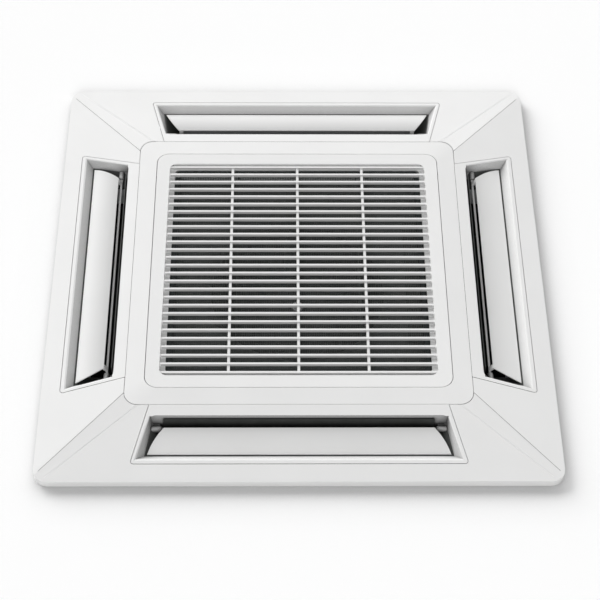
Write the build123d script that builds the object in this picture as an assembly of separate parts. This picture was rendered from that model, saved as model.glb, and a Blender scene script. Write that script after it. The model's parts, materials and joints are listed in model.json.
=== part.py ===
from build123d import *
import math
import os

# Four-way ceiling cassette indoor unit: chassis, fan, coil and the square decoration panel.
# Millimetres. The panel's face looks up (+Z), the way the unit lies on its casing top plate.
# Z = 0 is the outer face of the casing top plate, X = Y = 0 is the fan's axis.
# The four outlets are alike: each is drawn once on the front (-Y) side and turned about Z.
# "r" is the distance outwards from the fan's axis, square to a side of the panel.

# ---------------------------------------------------------------- heights
casing_height = 216.0          # chassis, from its top plate to the face that meets the panel
seal_thickness = 4.0           # foam between the chassis and the outlet ducts
seal_lip = 7.0                 # and its width round them
ceiling_gap = 16.0             # how far the ceiling plane stands below the duct ends
rim_height = 16.0              # visible side of the panel
fascia_rise = 13.4             # slope of the fascia from the rim up to the surround
ring_rise = 2.2                # slope of the surround up to the intake grille

duct_end_z = casing_height + seal_thickness
ceiling_z = duct_end_z + ceiling_gap
rim_z = ceiling_z + rim_height
surround_z = rim_z + fascia_rise
face_z = surround_z + ring_rise

# ---------------------------------------------------------------- grille and surround, from the inside out
recess_half = 258.5            # sunk field of slats, from its middle
recess_corner = 15.0
recess_depth = 7.5
grille_border = 26.5
ring_width = 36.0
groove = 1.2                   # width of the dark joint lines between the panel's pieces
skin = 3.0                     # wall of the panel mouldings
grille_side = 2 * (recess_half + grille_border)
grille_corner = 24.0
surround_side = grille_side + 2 * ring_width
surround_corner = 26.0
ring_hollow = 9.0              # hollow under the surround beside the grille
seat_lip = 31.0                # how far the surround's seat reaches in under it
foot_place = surround_side / 2 - seat_lip - 16.0   # panel's fixing screws, along both sides

# ---------------------------------------------------------------- outlets
insert_depth = 118.6           # outlet frame, from the surround outwards
insert_gap = 1.0               # joint line round an outlet frame
insert_corner = 5.0
insert_outer_r = surround_side / 2 + insert_depth
insert_inner_half = surround_side / 2 - 47.6
insert_outer_half = insert_inner_half + 29.4
mouth_inner_r = surround_side / 2 + 22.0
mouth_outer_r = insert_outer_r - 8.8
mouth_inner_half = insert_inner_half - 2.7
mouth_outer_half = insert_outer_half - 9.3
mouth_corner = 14.0
lip_drop = 0.9                 # how far the bevel round the mouth falls
lip_width = 2.4
well_drop = 8.0                # foot of the mouth's sloping sides, below the rim's top edge
well_outer_r = mouth_outer_r - 12.8
well_inner_half = mouth_inner_half - 3.0
well_outer_half = mouth_outer_half - 14.0
throat_inner_r = mouth_inner_r + 4.0
throat_outer_r = throat_inner_r + 51.0
throat_half = mouth_inner_half - 23.7
duct_wall = 2.5
lining_thickness = 1.5         # dark foam inside an outlet's duct
lining_drop = 6.0              # top of the lining on the inner side, below the mouth's edge
window_ledge = 4.0             # support of an outlet frame inside its window
side_trim = 13.0               # the left and right outlets are shorter by this at each end

# ---------------------------------------------------------------- panel's outline
panel_side = 2 * (insert_outer_r + 35.4)
panel_corner = 26.0
rib_spacing = 140.0            # stiffening ribs inside the rim
mitre_width = 1.0
mitre_depth = 0.6
mitre_inner = (surround_side / 2, surround_side / 2 - 26.0)
mitre_outer = (panel_side / 2 - 9.0, panel_side / 2 - 21.5)

# ---------------------------------------------------------------- louvres
axis_r = mouth_inner_r + 15.2  # hinge line of a louvre
axis_drop = 11.6               # hinge line below the rim's top edge
rod_radius = 2.2
blade_inner_r = axis_r + 4.8
blade_outer_r = mouth_outer_r - 16.3
blade_inner_half = throat_half - 1.5
blade_outer_half = mouth_outer_half - 19.5
blade_inner_rise = 1.2         # top of the blade's inner edge above the rim's top edge
blade_outer_drop = 7.0         # top of the blade's outer edge below it
blade_crown = 3.4
blade_thickness = 2.6
blade_end_bow = 2.4
arm_width = 8.0
pivot_radius = 2.5
running_gap = 0.06             # radial clearance of every turning pin
boss_radius = 6.0
boss_dome = 4.0                # rounding of a pivot boss's end
boss_gap = 2.5                 # face of a pivot boss, past the duct's lower end
motor_radius = 12.0
motor_length = 19.0
motor_shaft_offset = 8.0       # a louvre motor's shaft is off its body's centre
motor_gap = 9.3                # from the mouth's end to a louvre motor's face
motor_plate = 3.0
motor_nose_radius = 4.5
motor_ear = 17.0               # reach of a fixing ear to each side of the shaft

# ---------------------------------------------------------------- intake grille
ledge_thickness = 2.5
ledge_width = 10.5
window_half = recess_half - ledge_width
window_corner = 9.0
slat_count = 27
slat_pitch = 2 * (recess_half - 8.0) / (slat_count - 1)
slat_top = 4.0
slat_foot = 3.0
slat_height = 7.5
slat_drop = 1.0                # top of the slats below the grille's face
rib_offset = 130.6
rib_width = 5.2
rib_drop = 3.0
rib_height = 7.0
grille_turn_down = 12.0
hinge_inset = 21.6             # hinge line of the grille, in from its back edge
hinge_drop = 5.4               # and below its face
hinge_x = 200.0
hinge_pin_radius = 2.0
knuckle_radius = 4.2
knuckle_width = 6.0
eye_ring_radius = 3.2          # ring of the panel's hinge post round a pin
knuckle_gap = 0.4

# ---------------------------------------------------------------- filter
filter_half = window_half - 2.0
filter_rim = 8.0
filter_rim_height = 8.0
filter_gap = 0.3
filter_bars = 3
filter_bar_width = 3.0
net_thickness = 0.8
net_cells = 14
net_wire = 6.0

# ---------------------------------------------------------------- touch latches
latch_x = 150.0
latch_inset = 12.0             # from the grille's front edge to a plunger's axis
latch_plunger_radius = 4.0
latch_body = (22.0, 16.0, 26.0)
latch_travel = 3.0
latch_post_drop = grille_turn_down + 0.8   # foot of the grille's posts, below its face
latch_flange = 2.0

# ---------------------------------------------------------------- chassis
casing_half = throat_outer_r + 22.0
casing_chamfer = 150.0
sheet = 1.5
casing_flange = 12.0
bead_width = 10.0
bead_height = 3.0
bead_length = 150.0
bead_place = 235.0             # middle of a bead, from the fan's axis
liner_thickness = 18.0
liner_floor = 9.0
liner_bore = 128.0
fit_gap = 0.3

pan_depth = 46.0
bell_half = foot_place - 12.0
pan_opening_half = bell_half - 10.0
pan_seat_half = bell_half + 0.5
pan_seat_depth = 8.0

coil_outer_half = throat_inner_r - 22.0
coil_thickness = 38.0
trough_inner_half = coil_outer_half - coil_thickness - 9.0
trough_outer_half = coil_outer_half + 11.0
trough_depth = 28.0
coil_corner = 70.0
coil_end = coil_outer_half - 175.0         # where the coil stops short of the pipe corner
end_plate = 2.0
tube_radius = 3.5
bend_pitch = 21.0
bend_count = 8
bend_reach = 4.0               # straight part of a return bend
partition_sheet = 1.5
partition_lap = 2.0            # how far the sheet laps over the coil's end plates

# ---------------------------------------------------------------- fan
fan_radius = coil_outer_half - coil_thickness - 49.0
fan_back_z = 44.0
fan_shroud_z = 150.0
fan_top_z = 178.0
eye_radius = 180.0
shroud_neck = 14.0             # straight part of the fan's front ring, round the inlet's throat
fan_wall = 2.5
fan_blades = 7
blade_wall = 3.0
blade_in_radius = 128.0
hub_boss_radius = 17.0
hub_boss_height = 20.0
hub_crown_z = 112.0
shaft_radius = 6.0
fan_motor_radius = 68.0
fan_motor_base_z = 22.0
fan_motor_height = 70.0
mount_pcd_radius = 84.0
mount_post_radius = 6.0
grommet_radius = 12.0
grommet_bore = 4.0

bell_plate = 3.0
bell_mouth_radius = 205.0
bell_throat_radius = 172.0
bell_depth = 39.0

# ---------------------------------------------------------------- electrics, drain and pipes
box_x = (bell_half - 50.0, bell_half - 14.0)
box_half = 140.0
box_depth = 27.0
box_rise = 12.0
box_sheet = 1.2
pipe_offset_gas = 40.0         # along the cut corner, from its middle
pipe_offset_liquid = 86.0
gas_radius = 7.95
liquid_radius = 4.75
pipe_wall = 1.0
pipe_bore = 55.0               # open depth of a pipe stub
pipe_z = 110.0
pipe_stub = 30.0
nut_length = 16.0
nut_gap = 3.0                  # bare pipe between a nut and its union
union_length = 16.0
gas_union_radius = 11.1        # threads for a 15.88 mm flare
liquid_union_radius = 7.9      # and for a 9.52 mm flare
pump_distance = coil_outer_half + 75.0   # along the corner diagonal
pump_radius = 26.0
pump_height = 60.0
pump_foot_z = 185.0
pump_cap = 6.0
bracket_sheet = 2.5
bracket_drop = pump_cap + bracket_sheet
drain_offset = 62.0
drain_z = 58.0
drain_outer_radius = 13.0
drain_bore = 11.0
hose_wall = 1.5
hose_bend = 15.0
drain_stub = 42.0
drain_neck = 6.0               # where the stub takes its full width, outside the chassis
float_travel = 12.0
float_radius = 11.0
float_height = 14.0
stem_radius = 3.0
stem_length = 68.0
collar_height = 2.0
float_offset = 44.0            # from the pump's axis, along the cut corner

hanger_x = casing_half - 30.0               # hanging bolts, from the middle
hanger_y = casing_half - 80.0
hanger_z = 132.0
hanger_sheet = 2.5
hanger_width = 60.0
hanger_reach = 46.0
hanger_height = 44.0
hanger_slot = 12.0             # width of the slot for a hanging bolt
hanger_slot_length = 22.0      # and its length, along X

SIDES = {"front": 0.0, "right": 90.0, "back": 180.0, "left": 270.0}


class Outlet:
    """Lengths of an outlet along its side of the panel, each from its middle to one end."""

    def __init__(self, trim):
        self.insert_inner = insert_inner_half - trim
        self.insert_outer = insert_outer_half - trim
        self.mouth_inner = mouth_inner_half - trim
        self.mouth_outer = mouth_outer_half - trim
        self.well_inner = well_inner_half - trim
        self.well_outer = well_outer_half - trim
        self.throat = throat_half - trim
        self.blade_inner = blade_inner_half - trim
        self.blade_outer = blade_outer_half - trim
        self.boss = self.throat + boss_gap
        self.motor_face = self.mouth_inner + motor_gap


OUTLETS = {"front": Outlet(0.0), "right": Outlet(side_trim), "back": Outlet(0.0), "left": Outlet(side_trim)}


# ---------------------------------------------------------------- helpers
def half(side):
    return side / 2.0


def slab(side_x, side_y, corner, low, high):
    """Upright block with rounded corners between two heights."""
    outline = RectangleRounded(side_x, side_y, corner) if corner > 0 else Rectangle(side_x, side_y)
    return extrude(Pos(0, 0, low) * outline, high - low)


def block(x0, x1, y0, y1, z0, z1):
    """Square-cornered block between two corners."""
    return Pos((x0 + x1) / 2, (y0 + y1) / 2, (z0 + z1) / 2) * Box(x1 - x0, y1 - y0, z1 - z0)


def rod(radius, length, start, direction):
    """Round bar from a start point along a direction."""
    return extrude(Plane(origin=start, z_dir=direction) * Circle(radius), length)


def tube(outer, inner, length, start, direction):
    """Open tube from a start point along a direction."""
    ring = Circle(outer) - Circle(inner)
    return extrude(Plane(origin=start, z_dir=direction) * ring, length)


def front_trapezoid(r_in, half_in, r_out, half_out, corner_in=0.0, corner_out=0.0):
    """Flat trapezoid on the front side, its long edge outwards."""
    corners = [(-half_in, -r_in), (half_in, -r_in), (half_out, -r_out), (-half_out, -r_out)]
    face = make_face(Polyline(*corners, close=True))
    if corner_in > 0:
        face = fillet(face.vertices().sort_by(Axis.Y)[2:], corner_in)
    if corner_out > 0:
        face = fillet(face.vertices().sort_by(Axis.Y)[:2], corner_out)
    return face


def around(solid):
    """The same solid at the front, right, back and left."""
    return [Rot(0, 0, angle) * solid for angle in SIDES.values()]


def at_each_outlet(maker):
    """What a maker draws for an outlet on the front side, at the front, right, back and left."""
    return [Rot(0, 0, SIDES[name]) * maker(outlet) for name, outlet in OUTLETS.items()]


def at_corner(solid):
    """Turns what is drawn on the +X side to the pipe corner between +X and +Y."""
    return Rot(0, 0, 45) * solid


def fuse(first, others):
    result = first
    for other in others:
        result = result + other
    return result


def cut(first, others):
    result = first
    for other in others:
        result = result - other
    return result


def octagon(inset, low, high):
    """The chassis outline, moved inwards by an inset, between two heights."""
    side = casing_half - inset
    chamfer = casing_chamfer - inset * (2 - math.sqrt(2))
    short = side - chamfer
    points = [(side, -short), (side, short), (short, side), (-short, side),
              (-side, short), (-side, -short), (-short, -side), (short, -side)]
    return extrude(Pos(0, 0, low) * make_face(Polyline(*points, close=True)), high - low)


# ---------------------------------------------------------------- fascia surfaces
facet_slope = fascia_rise / (half(panel_side) - half(surround_side))


def facet_z(r):
    """Height of a side facet at a distance r."""
    return rim_z + facet_slope * (half(panel_side) - r)


def fascia_body(drop, inset):
    """Solid under the sloping fascia: four facets that run into rounded corners."""
    side = panel_side - 2 * inset
    low = ceiling_z - 1.0 if drop > 0 else ceiling_z
    rim = slab(side, side, panel_corner - inset, low, rim_z - drop)
    slope = loft([Pos(0, 0, rim_z - drop) * RectangleRounded(side, side, panel_corner - inset),
                  Pos(0, 0, surround_z - drop) * RectangleRounded(surround_side, surround_side,
                                                                 surround_corner)], ruled=True)
    return rim + slope


def insert_outline(outlet, gap):
    """Trapezoid of an outlet frame, grown by a gap all round."""
    inner_r = half(surround_side)
    slope = (outlet.insert_outer - outlet.insert_inner) / (insert_outer_r - inner_r)
    return front_trapezoid(inner_r - gap, outlet.insert_inner + gap * (1 - slope),
                           insert_outer_r + gap, outlet.insert_outer + gap * (1 + slope),
                           corner_out=insert_corner + gap)


def mitre_groove():
    """V-shaped line from the surround's corner to the panel's corner, front right."""
    (x0, y0), (x1, y1) = mitre_inner, mitre_outer
    start = Vector(x0, -y0, facet_z(x0))
    end = Vector(x1, -y1, facet_z(x1))
    along = end - start
    section = Polyline((-mitre_width / 2, 0.4), (mitre_width / 2, 0.4), (0, -mitre_depth), close=True)
    plane = Plane(origin=start, x_dir=along.cross(Vector(0, 0, 1)), z_dir=along)
    return extrude(plane * make_face(section), along.length)


# ---------------------------------------------------------------- panel frame
def grille_hinge_line():
    y = half(grille_side) - groove / 2 - hinge_inset
    return y, face_z - hinge_drop


def hinge_bracket(x):
    """Post that carries one hinge pin of the grille, rising from the surround's seat."""
    y, z = grille_hinge_line()
    floor_z = z - hinge_inset - 2.5
    seat_r = half(surround_side) - seat_lip
    post = block(x - knuckle_width / 2, x + knuckle_width / 2, y - 1.7, y + 1.2, floor_z, z)
    foot = block(x - knuckle_width / 2, x + knuckle_width / 2, y - 1.7, seat_r + 2, floor_z - 3, floor_z)
    web = block(x - knuckle_width / 2, x + knuckle_width / 2, seat_r, seat_r + 3, floor_z - 3,
                surround_z - 2 * skin)
    eye = rod(eye_ring_radius, knuckle_width, (x - knuckle_width / 2, y, z), (1, 0, 0))
    bore = rod(hinge_pin_radius + running_gap, knuckle_width + 2, (x - knuckle_width / 2 - 1, y, z), (1, 0, 0))
    return post + foot + web + eye - bore


def latch_shelf(x):
    """Bracket of one touch latch, hung from the surround's seat at the front."""
    seat_r = half(surround_side) - seat_lip
    y = -(half(grille_side) - groove / 2 - latch_inset)
    width, depth, height = latch_body
    base_z = latch_top_z() - height
    shelf = block(x - width / 2 - 3, x + width / 2 + 3, -seat_r - 3, y + depth / 2, base_z - skin, base_z)
    back = block(x - width / 2 - 3, x + width / 2 + 3, -seat_r - 3, -seat_r, base_z - skin,
                 surround_z - 2 * skin)
    return shelf + back


def latch_top_z():
    """Upper face of a touch latch's body: the plunger stands out of it by its travel and a flange."""
    return face_z - latch_post_drop - latch_travel - latch_flange


def corner_foot():
    """Leg under the surround's seat that the panel is screwed down by, front right corner."""
    seat_r = half(surround_side) - seat_lip
    wall = block(seat_r - 30, seat_r + 2, -seat_r - 2, -seat_r + 1, casing_height, surround_z - 2 * skin)
    side = block(seat_r - 1, seat_r + 2, -seat_r - 2, -seat_r + 30, casing_height, surround_z - 2 * skin)
    foot = block(seat_r - 30, seat_r + 2, -seat_r - 2, -seat_r + 30, casing_height, casing_height + skin)
    hole = rod(3.2, skin + 2, (foot_place, -foot_place, casing_height - 1), (0, 0, 1))
    return wall + side + foot - hole


def window_rim(outlet):
    """Ledge under the fascia that an outlet frame rests on, with a notch for its louvre motor."""
    rim = front_trapezoid(half(surround_side) - 6, outlet.insert_inner + 2, insert_outer_r + 6,
                          outlet.insert_outer + 9)
    rim = extrude(Pos(0, 0, ceiling_z) * rim, face_z - ceiling_z)
    rim = rim & (fascia_body(skin, skin) - fascia_body(2 * skin, skin))
    slot = front_trapezoid(half(surround_side) - 8, outlet.insert_inner - window_ledge,
                           insert_outer_r - window_ledge, outlet.insert_outer - window_ledge * 1.25)
    slot = extrude(Pos(0, 0, ceiling_z - 2) * slot, face_z - ceiling_z)
    notch = block(outlet.motor_face - motor_plate - insert_gap, outlet.motor_face + motor_length,
                  -axis_r - motor_ear, -axis_r + motor_ear, ceiling_z, face_z)
    return rim - slot - notch


def window_opening(outlet):
    """What an outlet frame's window takes out of the fascia, down to its ledge."""
    window = extrude(Pos(0, 0, ceiling_z - 2) * insert_outline(outlet, insert_gap), face_z - ceiling_z + 4)
    return window - fascia_body(skin, skin)


def panel_frame():
    """Fascia moulding: rim, sloping sides, windows for the outlets and the surround's seat."""
    opening = surround_side + groove
    shell = fascia_body(0, 0) - fascia_body(skin, skin)
    shell = shell - slab(opening, opening, surround_corner + groove / 2, ceiling_z - 2, face_z)
    seat_side = surround_side - 2 * seat_lip
    seat = slab(surround_side + 18, surround_side + 18, surround_corner + 9, surround_z - 2 * skin,
                surround_z - skin)
    seat = seat - slab(seat_side, seat_side, 14.0, surround_z - 3 * skin, surround_z)
    shell = fuse(shell + seat, at_each_outlet(window_rim))
    shell = cut(shell, at_each_outlet(window_opening))
    ribs = []
    for step in (-2, -1, 0, 1, 2):
        at = rib_spacing * step
        ribs.append(block(at - 1, at + 1, -half(panel_side) + 2, -insert_outer_r - 5, ceiling_z + 2, rim_z - 1))
    shell = fuse(shell, [turned for one in ribs for turned in around(one)])
    shell = cut(shell, around(mitre_groove()) + around(mirror(mitre_groove(), Plane.YZ)))
    shell = fuse(shell, around(corner_foot()))
    shell = fuse(shell, [hinge_bracket(-hinge_x), hinge_bracket(hinge_x)])
    return fuse(shell, [latch_shelf(-latch_x), latch_shelf(latch_x)])


def surround_ring():
    """Raised square ring between the two joint lines."""
    outer = surround_side - groove
    inner = grille_side + groove
    low = slab(outer, outer, surround_corner - groove / 2, surround_z - skin, surround_z)
    slope = loft([Pos(0, 0, surround_z) * RectangleRounded(outer, outer, surround_corner - groove / 2),
                  Pos(0, 0, face_z) * RectangleRounded(inner, inner, grille_corner)], ruled=True)
    ring = low + slope - slab(inner, inner, grille_corner + groove / 2, surround_z - 2 * skin, face_z + 1)
    hollow = inner + 2 * ring_hollow
    return ring - slab(hollow, hollow, grille_corner + ring_hollow, surround_z - 2 * skin, face_z - skin)


# ---------------------------------------------------------------- outlet frame
def facet_plane(offset):
    """Plane of the front facet, moved down by an offset, with its origin on the rim's edge."""
    tilt = math.atan(facet_slope)
    normal = Vector(0, -math.sin(tilt), math.cos(tilt))
    origin = Vector(0, -half(panel_side), rim_z) - normal * offset
    return Plane(origin=origin, x_dir=(1, 0, 0), z_dir=normal)


def on_facet(r_in, half_in, r_out, half_out, offset, corner=0.0):
    """Trapezoid drawn on the front facet or parallel under it."""
    stretch = math.sqrt(1 + facet_slope ** 2)
    near = (half(panel_side) - r_out) * stretch
    far = (half(panel_side) - r_in) * stretch
    points = [(-half_in, far), (half_in, far), (half_out, near), (-half_out, near)]
    face = make_face(Polyline(*points, close=True))
    if corner > 0:
        face = fillet(face.vertices().sort_by(Axis.Y)[2:], corner)
    return facet_plane(offset) * face


def flat_trapezoid(r_in, half_in, r_out, half_out, z):
    return Pos(0, 0, z) * front_trapezoid(r_in, half_in, r_out, half_out)


def duct_foot(outlet, grow, z):
    """Level section of an outlet's duct at its lower end."""
    return flat_trapezoid(throat_inner_r - grow, outlet.throat + grow, throat_outer_r + grow,
                          outlet.throat + grow, z)


def well_foot(outlet, grow):
    """Level section where the duct meets the mouth's sloping sides."""
    return flat_trapezoid(throat_inner_r - grow, outlet.well_inner + grow, well_outer_r + grow,
                          outlet.well_outer + grow, rim_z - well_drop)


def duct(outlet, grow):
    """Duct from its lower end to the foot of the mouth's sloping sides, grown by a wall."""
    return loft([duct_foot(outlet, grow, duct_end_z), well_foot(outlet, grow)], ruled=True)


def well(outlet, grow, offset):
    """Sloping sides of a mouth, from the duct's upper end to the fascia."""
    top = on_facet(mouth_inner_r - grow, outlet.mouth_inner + grow, mouth_outer_r + grow,
                   outlet.mouth_outer + grow, offset)
    return loft([well_foot(outlet, grow), top], ruled=True)


def mouth_space(outlet):
    """The open space of an outlet: a mouth with round inner corners, its slopes and the duct."""
    top = on_facet(mouth_inner_r, outlet.mouth_inner, mouth_outer_r, outlet.mouth_outer, 0.5, mouth_corner)
    end = extrude(duct_foot(outlet, 0, duct_end_z - 1), 2)
    return duct(outlet, 0) + well(outlet, 0, 0.5) + extrude(top, 20, dir=facet_plane(0).z_dir) + end


def mouth_bevel(outlet):
    """What the narrow bevel round the mouth takes away."""
    low = on_facet(mouth_inner_r + 2, outlet.mouth_inner, mouth_outer_r, outlet.mouth_outer, lip_drop)
    high = on_facet(mouth_inner_r + 2, outlet.mouth_inner + lip_width, mouth_outer_r + lip_width,
                    outlet.mouth_outer + lip_width, 0)
    return loft([low, high], ruled=True)


def pivot_block(outlet, sign):
    """Bearing of a louvre pivot in an inner corner of the duct, with a domed end."""
    axis_z = rim_z - axis_drop
    far = outlet.well_inner + 1.0
    start = outlet.boss if sign > 0 else -far
    boss = rod(boss_radius, far - outlet.boss, (start, -axis_r, axis_z), (1, 0, 0))
    ends = boss.edges().filter_by(GeomType.CIRCLE).sort_by(Axis.X)
    boss = fillet(ends[0] if sign > 0 else ends[-1], boss_dome)
    x0, x1 = sorted((sign * (outlet.boss + boss_dome), sign * far))
    return boss + block(x0, x1, -axis_r, 1 - throat_inner_r, axis_z - boss_radius, axis_z)


def motor_bracket(outlet):
    """Plate past the right-hand end wall, hung from the fascia, that a louvre motor is screwed to."""
    axis_z = rim_z - axis_drop
    plate = block(outlet.motor_face - motor_plate, outlet.motor_face, -axis_r - motor_ear + 1,
                  -axis_r + motor_ear - 3, axis_z - motor_shaft_offset - motor_radius, face_z)
    upper = fascia_body(skin / 2, skin) & extrude(Pos(0, 0, rim_z) * insert_outline(outlet, 0), face_z - rim_z)
    lower = fascia_body(2 * skin, skin)
    return (plate & lower) + (plate & upper)


def outlet_frame(outlet):
    """Insert with the bevelled mouth, the duct walls and the louvre's bearings."""
    plate = extrude(Pos(0, 0, ceiling_z) * insert_outline(outlet, 0), face_z - ceiling_z)
    plate = plate & (fascia_body(0, 0) - fascia_body(skin, skin))
    walls = duct(outlet, duct_wall) + well(outlet, duct_wall, skin - 0.5)
    frame = plate + walls + motor_bracket(outlet)
    frame = frame - mouth_space(outlet) - mouth_bevel(outlet)
    frame = frame + pivot_block(outlet, 1) + pivot_block(outlet, -1)
    axis_z = rim_z - axis_drop
    far = outlet.well_inner + 2.0
    bore = rod(pivot_radius + running_gap, outlet.motor_face + far, (-far, -axis_r, axis_z), (1, 0, 0))
    nose_hole = rod(motor_nose_radius + fit_gap, motor_plate + 2,
                    (outlet.motor_face - motor_plate - 1, -axis_r, axis_z), (1, 0, 0))
    return frame - bore - nose_hole


def duct_lining(outlet):
    """Dark foam inside a duct, carried up the inner side to just below the mouth's edge."""
    hollow = -fit_gap - lining_thickness
    shell = duct(outlet, -fit_gap) - duct(outlet, hollow)
    flap = block(-outlet.throat, outlet.throat, hollow - throat_inner_r, -throat_inner_r - fit_gap,
                 rim_z - well_drop - 2, facet_z(mouth_inner_r) - lining_drop)
    axis_z = rim_z - axis_drop
    clear = boss_radius + 2 * fit_gap
    for sign in (-1, 1):
        x0, x1 = sorted((sign * (outlet.boss - 2), sign * (outlet.well_inner + 1)))
        shell = shell - block(x0, x1, -axis_r - clear, -throat_inner_r + 1, axis_z - clear, rim_z)
        flap = flap - block(x0, x1, -axis_r - clear, -throat_inner_r + 1, axis_z - clear, face_z)
    return shell + flap


# ---------------------------------------------------------------- louvres
def blade_section():
    """Crowned section of a blade, in the YZ plane of the front side."""
    inner = Vector(-blade_inner_r, rim_z + blade_inner_rise)
    outer = Vector(-blade_outer_r, rim_z - blade_outer_drop)
    middle = (inner + outer) / 2 + Vector(0, blade_crown)
    down = Vector(0, -blade_thickness)
    top = ThreePointArc(inner, middle, outer)
    low = ThreePointArc(outer + down * 0.75, middle + down, inner + down * 0.75)
    return make_face([top, Line(outer, outer + down * 0.75), low, Line(inner + down * 0.75, inner)])


def louvre_arm(tip, width):
    """Arm from the hinge rod up to the blade's inner edge, drawn from a tip inwards."""
    axis_z = rim_z - axis_drop
    under = rim_z + blade_inner_rise - blade_thickness
    points = [(-axis_r - 1.8, axis_z - 1.0), (-axis_r + 1.8, axis_z + 1.0), (-blade_inner_r + 1.0, under),
              (-blade_inner_r - 1.0, under + 1.2), (-blade_inner_r - 7.0, under + 0.8)]
    return extrude(Plane.YZ.offset(tip) * make_face(Polyline(*points, close=True)), width)


def louvre(outlet):
    """Swinging blade with its hinge rod, the arms between them and the two pivots."""
    blade = extrude(Plane.YZ * blade_section(), 2 * outlet.blade_outer, both=True)
    inner_right = (outlet.blade_inner, -blade_inner_r)
    outer_right = (outlet.blade_outer, -blade_outer_r)
    inner_left = (-outlet.blade_inner, -blade_inner_r)
    outer_left = (-outlet.blade_outer, -blade_outer_r)
    bow_x = (outlet.blade_inner + outlet.blade_outer) / 2 + blade_end_bow
    bow_y = -(blade_inner_r + blade_outer_r) / 2
    right = ThreePointArc(inner_right, (bow_x, bow_y), outer_right)
    left = ThreePointArc(outer_left, (-bow_x, bow_y), inner_left)
    outline = make_face([right, Line(outer_right, outer_left), left, Line(inner_left, inner_right)])
    blade = blade & extrude(Pos(0, 0, ceiling_z - 20) * outline, 60)
    axis_z = rim_z - axis_drop
    bar_end = outlet.boss - 0.5
    pivot_end = outlet.well_inner - 1.0
    body = blade + rod(rod_radius, 2 * bar_end, (-bar_end, -axis_r, axis_z), (1, 0, 0))
    for tip in (1.0 - outlet.blade_inner, outlet.blade_inner - 1.0 - arm_width):
        body = body + louvre_arm(tip, arm_width)
    pin_left = rod(pivot_radius, pivot_end - bar_end, (-pivot_end, -axis_r, axis_z), (1, 0, 0))
    pin_right = rod(pivot_radius, outlet.motor_face + 4 - bar_end, (bar_end, -axis_r, axis_z), (1, 0, 0))
    return body + pin_left + pin_right


def louvre_motor(outlet):
    """Small geared stepper with an off-centre output nose and two fixing ears."""
    face = outlet.motor_face
    axis_z = rim_z - axis_drop
    centre_z = axis_z - motor_shaft_offset
    body = rod(motor_radius, motor_length, (face, -axis_r, centre_z), (1, 0, 0))
    ears = block(face, face + 1.0, -axis_r - motor_ear, -axis_r + motor_ear, centre_z - 3.5, centre_z + 3.5)
    plug = block(face + 3, face + motor_length - 2, -axis_r - 7.5, -axis_r + 7.5, centre_z,
                 centre_z + motor_radius + 3)
    nose = rod(motor_nose_radius, 1.5, (face - 1.5, -axis_r, axis_z), (1, 0, 0))
    bore = rod(pivot_radius + running_gap, 7.0, (face - 1.5, -axis_r, axis_z), (1, 0, 0))
    return body + ears + plug + nose - bore


# ---------------------------------------------------------------- intake grille
def slat(y):
    top_z = face_z - slat_drop
    section = Polyline((y - slat_top / 2, top_z), (y + slat_top / 2, top_z),
                       (y + slat_foot / 2, top_z - slat_height), (y - slat_foot / 2, top_z - slat_height),
                       close=True)
    return extrude(Plane.YZ * make_face(section), recess_half + 1.0, both=True)


def intake_grille():
    """Hinged square frame with a sunk field of slats over three ribs."""
    side = grille_side - groove
    corner = grille_corner - groove / 2
    ledge_z = face_z - recess_depth
    frame = slab(side, side, corner, face_z - skin, face_z)
    turn_down = slab(side, side, corner, face_z - grille_turn_down, face_z - 1)
    turn_down = turn_down - slab(side - 2 * skin, side - 2 * skin, corner - skin, ceiling_z, face_z)
    back_y, axis_z = grille_hinge_line()
    turn_down = turn_down - block(-hinge_x - 30, -hinge_x + 30, back_y - 8, side, ceiling_z, face_z - skin)
    turn_down = turn_down - block(hinge_x - 30, hinge_x + 30, back_y - 8, side, ceiling_z, face_z - skin)
    well = slab(2 * (recess_half + skin), 2 * (recess_half + skin), recess_corner + skin,
                ledge_z - ledge_thickness, face_z)
    frame = frame + turn_down + well
    frame = frame - slab(2 * recess_half, 2 * recess_half, recess_corner, ledge_z, face_z + 1)
    frame = frame - slab(2 * window_half, 2 * window_half, window_corner, ceiling_z, face_z)
    for index in range(slat_count):
        frame = frame + slat((index - (slat_count - 1) / 2) * slat_pitch)
    for x in (-rib_offset, 0.0, rib_offset):
        frame = frame + block(x - rib_width / 2, x + rib_width / 2, -window_half - 1, window_half + 1,
                              face_z - rib_drop - rib_height, face_z - rib_drop)
    for x in (-hinge_x, hinge_x):
        reach = knuckle_width / 2 + knuckle_gap
        frame = frame - block(x - reach, x + reach, back_y - eye_ring_radius - fit_gap, back_y + 5.0, ceiling_z,
                              axis_z + eye_ring_radius + fit_gap)
        for sign in (-1, 1):
            inner = x + sign * (knuckle_width / 2 + knuckle_gap)
            x0, x1 = sorted((inner, inner + sign * knuckle_width))
            lug = block(x0, x1, back_y - knuckle_radius, back_y + knuckle_radius, axis_z, face_z - 1)
            frame = frame + lug + rod(knuckle_radius, knuckle_width, (x0, back_y, axis_z), (1, 0, 0))
            frame = frame - rod(hinge_pin_radius, knuckle_width + 2, (x0 - 1, back_y, axis_z), (1, 0, 0))
    plunger_y = -(half(grille_side) - groove / 2 - latch_inset)
    for x in (-latch_x, latch_x):
        post_start = (x, plunger_y, face_z - latch_post_drop)
        frame = frame + rod(latch_plunger_radius + 1, latch_post_drop - 1, post_start, (0, 0, 1))
    return frame


def grille_hinge_pins():
    y, z = grille_hinge_line()
    reach = knuckle_width * 1.5 + knuckle_gap
    return Compound(children=[rod(hinge_pin_radius, 2 * reach, (x - reach, y, z), (1, 0, 0))
                              for x in (-hinge_x, hinge_x)])


def filter_levels():
    top = face_z - recess_depth - ledge_thickness - filter_gap
    return top - filter_rim_height, top


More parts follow.
